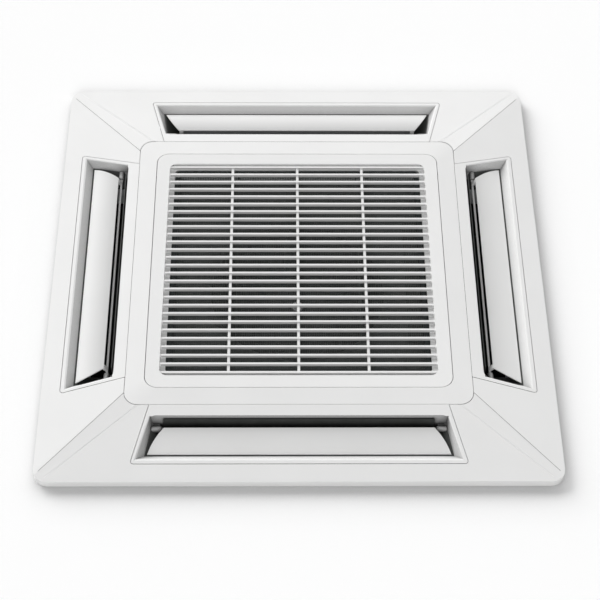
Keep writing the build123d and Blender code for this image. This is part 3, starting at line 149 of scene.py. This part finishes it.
# ---------------------------------------------------------------- stage
def white_with_painted_contact_shade(name, colour):
    """White of the surface the unit stands on, with painted contact shade: ambient occlusion darkens its colour
    near things that stand on it.
    """
    paint = bpy.data.materials.new(name)
    paint.use_nodes = True
    shader = paint.node_tree.nodes["Principled BSDF"]
    shader.inputs["Base Color"].default_value = (*colour, 1.0)
    shader.inputs["Roughness"].default_value = 1.0
    shader.inputs["Specular IOR Level"].default_value = 0.0
    # Painted contact shade: ambient occlusion darkens the white near things standing on it, softened by a gamma.
    painted_contact_shade = paint.node_tree.nodes.new("ShaderNodeAmbientOcclusion")
    painted_contact_shade.samples = 8
    painted_contact_shade.inputs["Color"].default_value = (*colour, 1.0)
    painted_contact_shade.inputs["Distance"].default_value = 0.08
    soften = paint.node_tree.nodes.new("ShaderNodeGamma")
    soften.inputs["Gamma"].default_value = 0.8
    paint.node_tree.links.new(painted_contact_shade.outputs["Color"], soften.inputs["Color"])
    paint.node_tree.links.new(soften.outputs["Color"], shader.inputs["Base Color"])
    return paint


def board_white():
    """White, with painted contact shade near the panel's rim, that is seen only from steeply above, so that the
    board doesn't hide the chassis from the side.
    """
    least_steep = 0.60
    paint = white_with_painted_contact_shade("board_white", (1.0, 1.0, 1.0))
    tree = paint.node_tree
    ray = tree.nodes.new("ShaderNodeLightPath")
    towards = tree.nodes.new("ShaderNodeSeparateXYZ")
    tree.links.new(tree.nodes.new("ShaderNodeNewGeometry").outputs["Incoming"], towards.inputs[0])
    steep = maths(tree, "GREATER_THAN", maths(tree, "ABSOLUTE", towards.outputs[2]), least_steep)
    seen = maths(tree, "MAXIMUM", steep, maths(tree, "SUBTRACT", 1.0, ray.outputs["Is Camera Ray"]))
    seen = maths(tree, "MULTIPLY", seen, maths(tree, "SUBTRACT", 1.0, ray.outputs["Is Shadow Ray"]))
    clear = tree.nodes.new("ShaderNodeBsdfTransparent")
    either = tree.nodes.new("ShaderNodeMixShader")
    tree.links.new(seen, either.inputs[0])
    tree.links.new(clear.outputs[0], either.inputs[1])
    tree.links.new(tree.nodes["Principled BSDF"].outputs[0], either.inputs[2])
    tree.links.new(either.outputs[0], tree.nodes["Material Output"].inputs["Surface"])
    return paint


def link_mesh(bm, name, material):
    """Makes an object at the origin from a finished bmesh."""
    mesh = bpy.data.meshes.new(name)
    bm.to_mesh(mesh)
    bm.free()
    piece = bpy.data.objects.new(name, mesh)
    bpy.context.scene.collection.objects.link(piece)
    mesh.materials.append(material)
    return piece


def bm_box(bm, low, high):
    """Adds a square-cornered block between two corners and returns its vertices."""
    low, high = Vector(low), Vector(high)
    made = bmesh.ops.create_cube(bm, size=1.0)["verts"]
    bmesh.ops.scale(bm, vec=high - low, verts=made)
    bmesh.ops.translate(bm, vec=(low + high) / 2, verts=made)
    return made


def ceiling_board():
    """Board round the chassis in the plane of the ceiling, with a cut-out hidden under the panel's rim."""
    bm = bmesh.new()
    cut = 0.445
    x0, x1, y0, y1 = -0.72, 0.74, -0.74, 0.82
    top, low = CEILING_Z, CEILING_Z - 0.010
    bm_box(bm, (x0, y0, low), (x1, -cut, top))
    bm_box(bm, (x0, cut, low), (x1, y1, top))
    bm_box(bm, (x0, -cut, low), (-cut, cut, top))
    bm_box(bm, (cut, -cut, low), (x1, cut, top))
    bmesh.ops.remove_doubles(bm, verts=bm.verts, dist=1e-5)
    link_mesh(bm, "ceiling_board", board_white())


def studio_floor():
    bm = bmesh.new()
    bmesh.ops.create_grid(bm, x_segments=1, y_segments=1, size=12.0)
    bmesh.ops.translate(bm, vec=(0.0, 0.0, -0.0005), verts=bm.verts)
    # The floor's white has painted contact shade where things stand on it.
    link_mesh(bm, "studio_floor", white_with_painted_contact_shade("floor_white", (0.95, 0.95, 0.95)))


# ---------------------------------------------------------------- materials
class Finish:
    """A node material with one shader; its helpers add patterns in Object coordinates."""

    def __init__(self, name, colour, roughness, metallic=0.0, specular=0.5):
        self.material = bpy.data.materials.new(name)
        self.material.use_nodes = True
        self.tree = self.material.node_tree
        self.shader = self.tree.nodes["Principled BSDF"]
        self.colour = colour
        self.shader.inputs["Base Color"].default_value = (*colour, 1.0)
        self.shader.inputs["Roughness"].default_value = roughness
        self.shader.inputs["Metallic"].default_value = metallic
        self.shader.inputs["Specular IOR Level"].default_value = specular
        self.coordinates = self.tree.nodes.new("ShaderNodeTexCoord").outputs["Object"]

    def link(self, start, end):
        self.tree.links.new(start, end)

    def noise(self, scale, detail=2.0, rough=0.5, stretch=(1.0, 1.0, 1.0)):
        mapping = self.tree.nodes.new("ShaderNodeMapping")
        mapping.inputs["Scale"].default_value = stretch
        self.link(self.coordinates, mapping.inputs["Vector"])
        node = self.tree.nodes.new("ShaderNodeTexNoise")
        node.inputs["Scale"].default_value = scale
        node.inputs["Detail"].default_value = detail
        node.inputs["Roughness"].default_value = rough
        self.link(mapping.outputs[0], node.inputs["Vector"])
        return node.outputs["Fac"]

    def cells(self, scale, feature="F1", output="Distance"):
        node = self.tree.nodes.new("ShaderNodeTexVoronoi")
        node.inputs["Scale"].default_value = scale
        node.feature = feature
        self.link(self.coordinates, node.inputs["Vector"])
        return node.outputs[output]

    def lines(self, scale, direction, distortion=0.0, profile="SIN"):
        node = self.tree.nodes.new("ShaderNodeTexWave")
        node.wave_type = "BANDS"
        node.bands_direction = direction
        node.wave_profile = profile
        node.inputs["Scale"].default_value = scale
        node.inputs["Distortion"].default_value = distortion
        self.link(self.coordinates, node.inputs["Vector"])
        return node.outputs["Fac"]

    def tint(self, pattern, dark, light, low=0.3, high=0.7):
        """Base colour that runs between two shades of the finish's own colour with a pattern."""
        ramp = self.tree.nodes.new("ShaderNodeValToRGB")
        ramp.color_ramp.elements[0].position = low
        ramp.color_ramp.elements[1].position = high
        ramp.color_ramp.elements[0].color = (*[min(1.0, c * dark) for c in self.colour], 1.0)
        ramp.color_ramp.elements[1].color = (*[min(1.0, c * light) for c in self.colour], 1.0)
        self.link(pattern, ramp.inputs["Fac"])
        self.link(ramp.outputs["Color"], self.shader.inputs["Base Color"])
        return ramp

    def gloss(self, pattern, smooth, rough, low=0.3, high=0.7):
        """Roughness that follows a pattern."""
        span = self.tree.nodes.new("ShaderNodeMapRange")
        span.inputs["From Min"].default_value = low
        span.inputs["From Max"].default_value = high
        span.inputs["To Min"].default_value = smooth
        span.inputs["To Max"].default_value = rough
        self.link(pattern, span.inputs["Value"])
        self.link(span.outputs["Result"], self.shader.inputs["Roughness"])

    def relief(self, pattern, height, under=None):
        """Small bumps, in metres of height, over an optional softened edge."""
        bump = self.tree.nodes.new("ShaderNodeBump")
        bump.inputs["Strength"].default_value = 1.0
        bump.inputs["Distance"].default_value = height
        self.link(pattern, bump.inputs["Height"])
        if under is not None:
            self.link(under, bump.inputs["Normal"])
        self.link(bump.outputs["Normal"], self.shader.inputs["Normal"])
        return bump.outputs["Normal"]

    def maths(self, operation, *values):
        return maths(self.tree, operation, *values)

    def within(self, *tests):
        """1 where every test holds."""
        held = tests[0]
        for test in tests[1:]:
            held = self.maths("MULTIPLY", held, test)
        return held

    def axes(self):
        node = self.tree.nodes.new("ShaderNodeSeparateXYZ")
        self.link(self.coordinates, node.inputs[0])
        return node.outputs

    def square_reach(self):
        """Distance from the fan's axis, square like the panel."""
        x, y, _ = self.axes()
        return self.maths("MAXIMUM", self.maths("ABSOLUTE", x), self.maths("ABSOLUTE", y))

    def facing(self):
        """How far a face looks up in the object's own frame."""
        turn = self.tree.nodes.new("ShaderNodeVectorTransform")
        turn.vector_type = "NORMAL"
        turn.convert_from, turn.convert_to = "WORLD", "OBJECT"
        self.link(self.tree.nodes.new("ShaderNodeNewGeometry").outputs["True Normal"], turn.inputs[0])
        node = self.tree.nodes.new("ShaderNodeSeparateXYZ")
        self.link(turn.outputs[0], node.inputs[0])
        return node.outputs[2]

    def vector(self, *values):
        return feed(self.tree, self.tree.nodes.new("ShaderNodeCombineXYZ"), values)

    def scaled(self, vector, share):
        node = self.tree.nodes.new("ShaderNodeVectorMath")
        node.operation = "SCALE"
        self.link(vector, node.inputs[0])
        self.link(share, node.inputs["Scale"])
        return node.outputs[0]

    def mix(self, first, second, share):
        """Unit vector between two others."""
        total = self.tree.nodes.new("ShaderNodeVectorMath")
        total.operation = "ADD"
        self.link(self.scaled(first, self.maths("SUBTRACT", 1.0, share)), total.inputs[0])
        self.link(self.scaled(second, share), total.inputs[1])
        unit = self.tree.nodes.new("ShaderNodeVectorMath")
        unit.operation = "NORMALIZE"
        self.link(total.outputs[0], unit.inputs[0])
        return unit.outputs[0]

    def openness(self, reach, power):
        """1 on an open face, less in a corner or a hollow; a finish paints shade into its colour with it."""
        node = self.tree.nodes.new("ShaderNodeAmbientOcclusion")
        node.samples = 8
        node.inputs["Distance"].default_value = reach
        return self.maths("POWER", node.outputs["AO"], power)

    def darken(self, colour, share):
        # Scales the base colour by a share: below 1 this paints shade into the colour, above 1 painted light.
        self.link(self.scaled(colour, share), self.shader.inputs["Base Color"])

    def soft_edge(self, radius):
        """Normal that rounds the look of sharp edges."""
        bevel = self.tree.nodes.new("ShaderNodeBevel")
        bevel.samples = 6
        bevel.inputs["Radius"].default_value = radius
        self.link(bevel.outputs["Normal"], self.shader.inputs["Normal"])
        return bevel.outputs["Normal"]

    def spark_grain(self, normal, grain=0.00002):
        """Fine spark-eroded grain of a moulding, and its slightly uneven colour, which is returned."""
        self.relief(self.noise(1400.0, 2.0), grain, normal)
        return self.tint(self.noise(9.0, 3.0), 0.985, 1.01).outputs["Color"]

    def uneven_gloss(self, roughness):
        self.gloss(self.noise(60.0, 2.0), roughness - 0.04, roughness + 0.06)


def moulded_plastic(name, colour, roughness=0.58, edge=0.0006, grain=0.00002, depth_shade=0.0):
    """Pale moulding with a fine spark-eroded grain; a depth_shade above 0 adds painted shade, darkening its
    colour in hollows and corners.
    """
    finish = Finish(name, colour, roughness, specular=0.3)
    shades = finish.spark_grain(finish.soft_edge(edge), grain)
    finish.uneven_gloss(roughness)
    if depth_shade > 0.0:
        # Painted shade: ambient occlusion darkens the colour in hollows and corners.
        finish.darken(shades, finish.openness(0.045, depth_shade))
    return finish.material


def mitred_plastic(name, colour, roughness=0.58):
    """The panel's moulding: flat facets that meet at one thin dark line in each corner.

    The CAD panel also has the mirror of that line as a second groove, whose own shade is cancelled here by
    painted light.
    """
    corner_start, rim_start = 0.284, 0.466      # where the corners' facets begin and end
    strip_low, strip_high = -0.003, 0.060       # band beside the joint that is shaded flat
    line_half, line_shade = 0.0008, 0.38
    groove_start, groove_end, groove_painted_light = 0.3205, 0.4662, 0.22
    finish = Finish(name, colour, roughness, specular=0.3)
    x, y, z = finish.axes()
    far_x, far_y = finish.maths("ABSOLUTE", x), finish.maths("ABSOLUTE", y)
    past = finish.maths("SUBTRACT", far_y, finish.maths("MULTIPLY_ADD", far_x, MITRE_SLOPE, MITRE_START))
    corner = finish.within(finish.maths("GREATER_THAN", past, strip_low),
                           finish.maths("LESS_THAN", past, strip_high),
                           finish.maths("GREATER_THAN", far_x, corner_start),
                           finish.maths("GREATER_THAN", far_y, corner_start),
                           finish.maths("GREATER_THAN", z, RIM_Z - 0.0002))
    end_on = finish.maths("GREATER_THAN", past, 0.0)
    side_on = finish.maths("SUBTRACT", 1.0, end_on)
    lean = math.sin(math.atan(FACET_SLOPE))
    lean_x = finish.maths("MULTIPLY", finish.maths("SIGN", x), finish.maths("MULTIPLY", side_on, lean))
    lean_y = finish.maths("MULTIPLY", finish.maths("SIGN", y), finish.maths("MULTIPLY", end_on, lean))
    flat = finish.vector(lean_x, lean_y, math.cos(math.atan(FACET_SLOPE)))
    shades = finish.spark_grain(finish.mix(finish.soft_edge(0.0006), flat, corner))
    finish.uneven_gloss(roughness)
    beside = finish.maths("GREATER_THAN", finish.maths("ABSOLUTE", past), line_half)
    keep = finish.maths("MAXIMUM", beside, finish.maths("GREATER_THAN", far_x, rim_start))
    line = finish.maths("MULTIPLY_ADD", keep, 1.0 - line_shade, line_shade)
    # Painted light: the second groove's colour is lightened to cancel the shade in it.
    other = finish.maths("SUBTRACT", far_x, finish.maths("MULTIPLY_ADD", far_y, MITRE_SLOPE, MITRE_START))
    groove = finish.within(finish.maths("LESS_THAN", finish.maths("ABSOLUTE", other), line_half),
                           finish.maths("GREATER_THAN", far_y, groove_start),
                           finish.maths("LESS_THAN", far_y, groove_end))
    finish.darken(shades, finish.maths("ADD", line, finish.maths("MULTIPLY", groove, groove_painted_light)))
    return finish.material


def grille_plastic(name, colour, roughness=0.58):
    """The grille's moulding; the upright faces of its slats stand in each other's shade, which is painted into
    their colour.
    """
    finish = Finish(name, colour, roughness, specular=0.3)
    shades = finish.spark_grain(finish.soft_edge(0.0004))
    finish.uneven_gloss(roughness)
    slat_face_painted_shade = finish.within(finish.maths("LESS_THAN", finish.facing(), 0.5),
                              finish.maths("LESS_THAN", finish.square_reach(), RECESS_HALF - 0.002))
    # Painted shade: the slats' upright faces are darkened to 0.64 of their colour.
    finish.darken(shades, finish.maths("MULTIPLY_ADD", slat_face_painted_shade, -0.36, 1.0))
    return finish.material


def blade_plastic(name, colour, roughness=0.5):
    """A louvre's moulding, shaded flatter than it is, with painted shade that darkens its colour towards its
    hinge edge.
    """
    hinge_shade, flatness = 0.70, 0.5
    finish = Finish(name, colour, roughness, specular=0.3)
    from_hinge = finish.maths("SUBTRACT", finish.square_reach(), BLADE_INNER)
    across = finish.maths("DIVIDE", from_hinge, BLADE_OUTER - BLADE_INNER)
    across = finish.maths("MINIMUM", finish.maths("MAXIMUM", across, 0.0), 1.0)
    flatter = finish.tree.nodes.new("ShaderNodeVectorTransform")
    flatter.vector_type = "NORMAL"
    flatter.convert_from, flatter.convert_to = "OBJECT", "WORLD"
    flatter.inputs[0].default_value = (0.0, 0.0, 1.0)
    top = finish.maths("GREATER_THAN", finish.facing(), 0.6)
    normal = finish.mix(finish.soft_edge(0.0005), flatter.outputs[0], finish.maths("MULTIPLY", top, flatness))
    shades = finish.spark_grain(normal)
    # Painted shade: the colour runs from 0.70 at the hinge edge to full at the outer edge.
    finish.darken(shades, finish.maths("MULTIPLY_ADD", across, 1.0 - hinge_shade, hinge_shade))
    return finish.material


def galvanised_steel(name, colour=(0.40, 0.42, 0.43)):
    """Zinc-coated sheet with its large crystal spangle."""
    finish = Finish(name, colour, 0.42, metallic=0.85)
    spangle = finish.cells(140.0, "F1", "Color")
    grey = finish.tree.nodes.new("ShaderNodeRGBToBW")
    finish.link(spangle, grey.inputs[0])
    finish.tint(grey.outputs[0], 0.86, 1.08, 0.2, 0.8)
    finish.gloss(grey.outputs[0], 0.34, 0.52, 0.2, 0.8)
    finish.relief(finish.noise(420.0, 2.0), 0.00003, finish.soft_edge(0.0005))
    return finish.material


def plain_metal(name, colour, roughness=0.3, stretch=(1.0, 1.0, 12.0)):
    """Bare metal with fine drawing lines."""
    finish = Finish(name, colour, roughness, metallic=1.0)
    lines = finish.noise(260.0, 3.0, 0.6, stretch)
    finish.tint(lines, 0.9, 1.06)
    finish.gloss(lines, roughness - 0.07, roughness + 0.12)
    finish.relief(lines, 0.00001, finish.soft_edge(0.0003))
    return finish.material


def fin_block(name):
    """Aluminium fin edges, upright, a couple of millimetres apart, with painted shade darkening the gaps between
    them.
    """
    finish = Finish(name, (0.60, 0.61, 0.62), 0.4, metallic=0.9)
    painted_fin_gap_shade = finish.maths("MINIMUM", finish.lines(160.0, "X"), finish.lines(160.0, "Y"))
    # Painted shade: the gaps between the fins are darkened to 0.35 of the aluminium's colour.
    finish.tint(painted_fin_gap_shade, 0.35, 1.05, 0.1, 0.6)
    finish.relief(painted_fin_gap_shade, 0.0006)
    return finish.material


def bead_foam(name, colour, size=260.0):
    """Moulded bead foam: small cells with darker seams."""
    finish = Finish(name, colour, 0.75, specular=0.3)
    finish.relief(finish.cells(size), 0.0003, finish.soft_edge(0.0015))
    finish.tint(finish.cells(size, "DISTANCE_TO_EDGE"), 0.86, 1.02, 0.0, 0.12)
    return finish.material


def soft_rubber(name, colour):
    finish = Finish(name, colour, 0.65, specular=0.35)
    finish.relief(finish.noise(900.0, 2.0), 0.00005, finish.soft_edge(0.0006))
    finish.tint(finish.noise(40.0, 3.0), 0.85, 1.2)
    return finish.material


def woven(name, colour):
    """Fine dark filter weave."""
    finish = Finish(name, colour, 0.8, specular=0.2)
    finish.relief(finish.noise(1800.0, 1.0), 0.00006)
    finish.tint(finish.noise(500.0, 2.0), 0.7, 1.35)
    return finish.material


WHITE = (0.795, 0.795, 0.791)

FINISHES = {
    "panel_plastic": lambda: mitred_plastic("panel_plastic", WHITE),
    "surround_plastic": lambda: moulded_plastic("surround_plastic", WHITE),
    # The outlets' walls get painted shade in their hollows.
    "outlet_plastic": lambda: moulded_plastic("outlet_plastic", WHITE, depth_shade=2.0),
    "louvre_plastic": lambda: blade_plastic("louvre_plastic", (0.82, 0.82, 0.815)),
    "grille_plastic": lambda: grille_plastic("grille_plastic", WHITE),
    "steel_pin": lambda: plain_metal("steel_pin", (0.60, 0.60, 0.61)),
    "filter_plastic": lambda: moulded_plastic("filter_plastic", (0.035, 0.040, 0.040), 0.5),
    "filter_weave": lambda: woven("filter_weave", (0.105, 0.112, 0.108)),
    "latch_plastic": lambda: moulded_plastic("latch_plastic", (0.62, 0.62, 0.60)),
    "plunger_plastic": lambda: moulded_plastic("plunger_plastic", (0.45, 0.45, 0.44)),
    "stepper_metal": lambda: galvanised_steel("stepper_metal", (0.62, 0.62, 0.60)),
    "galvanised_sheet": lambda: galvanised_steel("galvanised_sheet"),
    "box_paint": lambda: moulded_plastic("box_paint", (0.018, 0.019, 0.019), 0.5),
    "duct_foam": lambda: soft_rubber("duct_foam", (0.040, 0.042, 0.040)),
    "lining_foam": lambda: soft_rubber("lining_foam", (0.05, 0.052, 0.055)),
    "pan_foam": lambda: bead_foam("pan_foam", (0.72, 0.74, 0.75)),
    "seal_foam": lambda: soft_rubber("seal_foam", (0.012, 0.012, 0.012)),
    "fin_aluminium": lambda: fin_block("fin_aluminium"),
    "copper": lambda: plain_metal("copper", (0.72, 0.36, 0.22), 0.28),
    "nut_brass": lambda: plain_metal("nut_brass", (0.74, 0.55, 0.24), 0.25),
    "fan_plastic": lambda: moulded_plastic("fan_plastic", (0.022, 0.024, 0.026), 0.45),
    "motor_paint": lambda: galvanised_steel("motor_paint", (0.20, 0.21, 0.22)),
    "grommet_rubber": lambda: soft_rubber("grommet_rubber", (0.01, 0.01, 0.01)),
    "inlet_plastic": lambda: moulded_plastic("inlet_plastic", (0.060, 0.065, 0.064), 0.5),
    "board_green": lambda: moulded_plastic("board_green", (0.02, 0.11, 0.04), 0.35),
    "terminal_plastic": lambda: moulded_plastic("terminal_plastic", (0.60, 0.56, 0.44)),
    "pump_plastic": lambda: moulded_plastic("pump_plastic", (0.62, 0.62, 0.60)),
    "float_foam": lambda: bead_foam("float_foam", (0.70, 0.60, 0.32), 500.0),
    "drain_plastic": lambda: moulded_plastic("drain_plastic", (0.36, 0.38, 0.40)),
    "hose_rubber": lambda: soft_rubber("hose_rubber", (0.12, 0.13, 0.13)),
}


def dress_cad_nodes():
    """Gives every CAD node the finish of its slot in the record."""
    made = {}
    for row in frame["record"]["subparts"]:
        slot = row["material_slot"]
        if slot not in made:
            made[slot] = FINISHES[slot]()
        node = frame["nodes"][row["node"]]
        node.data.materials.clear()
        node.data.materials.append(made[slot])
    return made


# ---------------------------------------------------------------- filter net
def filter_weave_piece(finish):
    """Crossed threads of the net inside the filter's frame."""
    low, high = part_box("filter_net")
    pitch, thread = 0.0034, 0.0007
    count = int((high[0] - low[0]) / pitch)
    bm = bmesh.new()
    z = (low[2] + high[2]) / 2
    for index in range(1, count):
        at = low[0] + (high[0] - low[0]) * index / count
        bm_box(bm, (at - thread / 2, low[1] + 0.001, z - 0.0002), (at + thread / 2, high[1] - 0.001, z + 0.0001))
        bm_box(bm, (low[0] + 0.001, at - thread / 2, z - 0.0001), (high[0] - 0.001, at + thread / 2, z + 0.0002))
    net = link_mesh(bm, "filter_threads", finish)
    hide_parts("filter_net")
    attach(net, "grille")


# ---------------------------------------------------------------- fixings on the chassis
def standing_out(place, outward):
    """Matrix that turns +Z outwards and moves it to a place."""
    turn = Vector((0.0, 0.0, 1.0)).rotation_difference(Vector(outward))
    return Matrix.Translation(place) @ turn.to_matrix().to_4x4()


def hex_screw(bm, place, outward):
    """Sheet-metal screw: a hexagon head on its own washer, seated on a face."""
    at = standing_out(place, outward)
    bmesh.ops.create_cone(bm, cap_ends=True, segments=24, radius1=0.0052, radius2=0.0049, depth=0.0012,
                          matrix=at @ Matrix.Translation((0.0, 0.0, 0.0004)))
    head = bmesh.ops.create_cone(bm, cap_ends=True, segments=6, radius1=0.0040, radius2=0.0040, depth=0.0034,
                                 matrix=at @ Matrix.Translation((0.0, 0.0, 0.0024)))["verts"]
    edges = {edge for vertex in head for edge in vertex.link_edges}
    bmesh.ops.bevel(bm, geom=list(edges), offset=0.0004, segments=1, profile=0.5, affect="EDGES", material=-1)


def rivet_head(bm, place, outward):
    """Low dome, half sunk in the sheet."""
    at = standing_out(place, outward) @ Matrix.Diagonal((1.0, 1.0, 0.5, 1.0))
    bmesh.ops.create_uvsphere(bm, u_segments=20, v_segments=10, radius=0.0026, matrix=at)


def each_side(point, side):
    """A point given for the right side, turned to another side."""
    return Matrix.Rotation(math.radians(TURNS[side]), 4, "Z") @ Vector(point)


def casing_fixings(steel):
    """Screws through the casing's long sides and through the hanger brackets."""
    side_screw_z, bracket_screw_z, from_middle = 0.2030, 0.1600, 0.014
    bm = bmesh.new()
    for side in SIDES:
        outward = each_side((1.0, 0.0, 0.0), side)
        for along in (-0.225, -0.075, 0.075, 0.225):
            hex_screw(bm, each_side((CASING_HALF, along, side_screw_z), side), outward)
    half = math.sqrt(0.5)
    for sign_x in (-1.0, 1.0):
        for sign_y in (-1.0, 1.0):
            for across in (HANGER_MIDDLE - from_middle, HANGER_MIDDLE + from_middle):
                x, y = (HANGER_FACE + across) * half, (HANGER_FACE - across) * half
                hex_screw(bm, (sign_x * x, sign_y * y, bracket_screw_z), (sign_x * half, sign_y * half, 0.0))
    piece = link_mesh(bm, "chassis_screws", steel)
    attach(piece, "chassis")


def casing_seams(sheet, steel):
    """Riveted lap where the casing's long sides meet its cut corners."""
    lap_middle, lap_half, lap_face = 0.259, 0.009, CASING_HALF + 0.0008
    bm = bmesh.new()
    rivets = bmesh.new()
    for side in SIDES:
        for end in (-1.0, 1.0):
            lap = bm_box(bm, (CASING_HALF - 0.0003, -lap_half, 0.0100), (lap_face, lap_half, 0.1950))
            bmesh.ops.translate(bm, vec=(0.0, end * lap_middle, 0.0), verts=lap)
            bmesh.ops.rotate(bm, cent=(0.0, 0.0, 0.0), verts=lap,
                             matrix=Matrix.Rotation(math.radians(TURNS[side]), 3, "Z"))
            for height in (0.022, 0.062, 0.102, 0.142, 0.182):
                rivet_head(rivets, each_side((lap_face, end * lap_middle, height), side),
                           each_side((1.0, 0.0, 0.0), side))
    laps = link_mesh(bm, "casing_laps", sheet)
    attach(laps, "chassis")
    heads = link_mesh(rivets, "casing_rivets", steel)
    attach(heads, "chassis")


def union_threads(brass):
    """Thread crests round the two brass unions in the pipe corner."""
    unions = ((0.040, 0.0111), (0.086, 0.0079))     # place along the corner, radius
    first, pitch, turns = 0.0012, 0.0016, 8
    half = math.sqrt(0.5)
    pipe_way = Vector((half, half, 0.0))
    aside = Vector((-half, half, 0.0))
    bm = bmesh.new()
    for offset, radius in unions:
        middle = aside * offset + Vector((0.0, 0.0, PIPE_Z))
        for index in range(turns):
            start = UNION_START + first + pitch * index
            ring = []
            for ahead, out in ((0.0, -0.0004), (0.0, 0.0), (0.0006, 0.0005), (0.0012, 0.0), (0.0012, -0.0004)):
                ring.append(bm.verts.new(middle + pipe_way * (start + ahead) + Vector((0.0, 0.0, radius + out))))
            loop = [bm.edges.new((ring[at - 1], ring[at])) for at in range(len(ring))]
            bmesh.ops.spin(bm, geom=ring + loop, cent=middle, axis=pipe_way, dvec=(0.0, 0.0, 0.0),
                           angle=math.radians(360.0), steps=40, use_merge=True)
    bmesh.ops.recalc_face_normals(bm, faces=bm.faces)
    piece = link_mesh(bm, "union_threads", brass)
    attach(piece, "chassis")


look_through_photo_lens()
studio_lights()
studio_floor()
ceiling_board()
finishes = dress_cad_nodes()
filter_weave_piece(finishes["filter_weave"])
casing_fixings(finishes["steel_pin"])
casing_seams(finishes["galvanised_sheet"], finishes["steel_pin"])
union_threads(finishes["nut_brass"])

bpy.context.scene.view_settings.view_transform = "Standard"
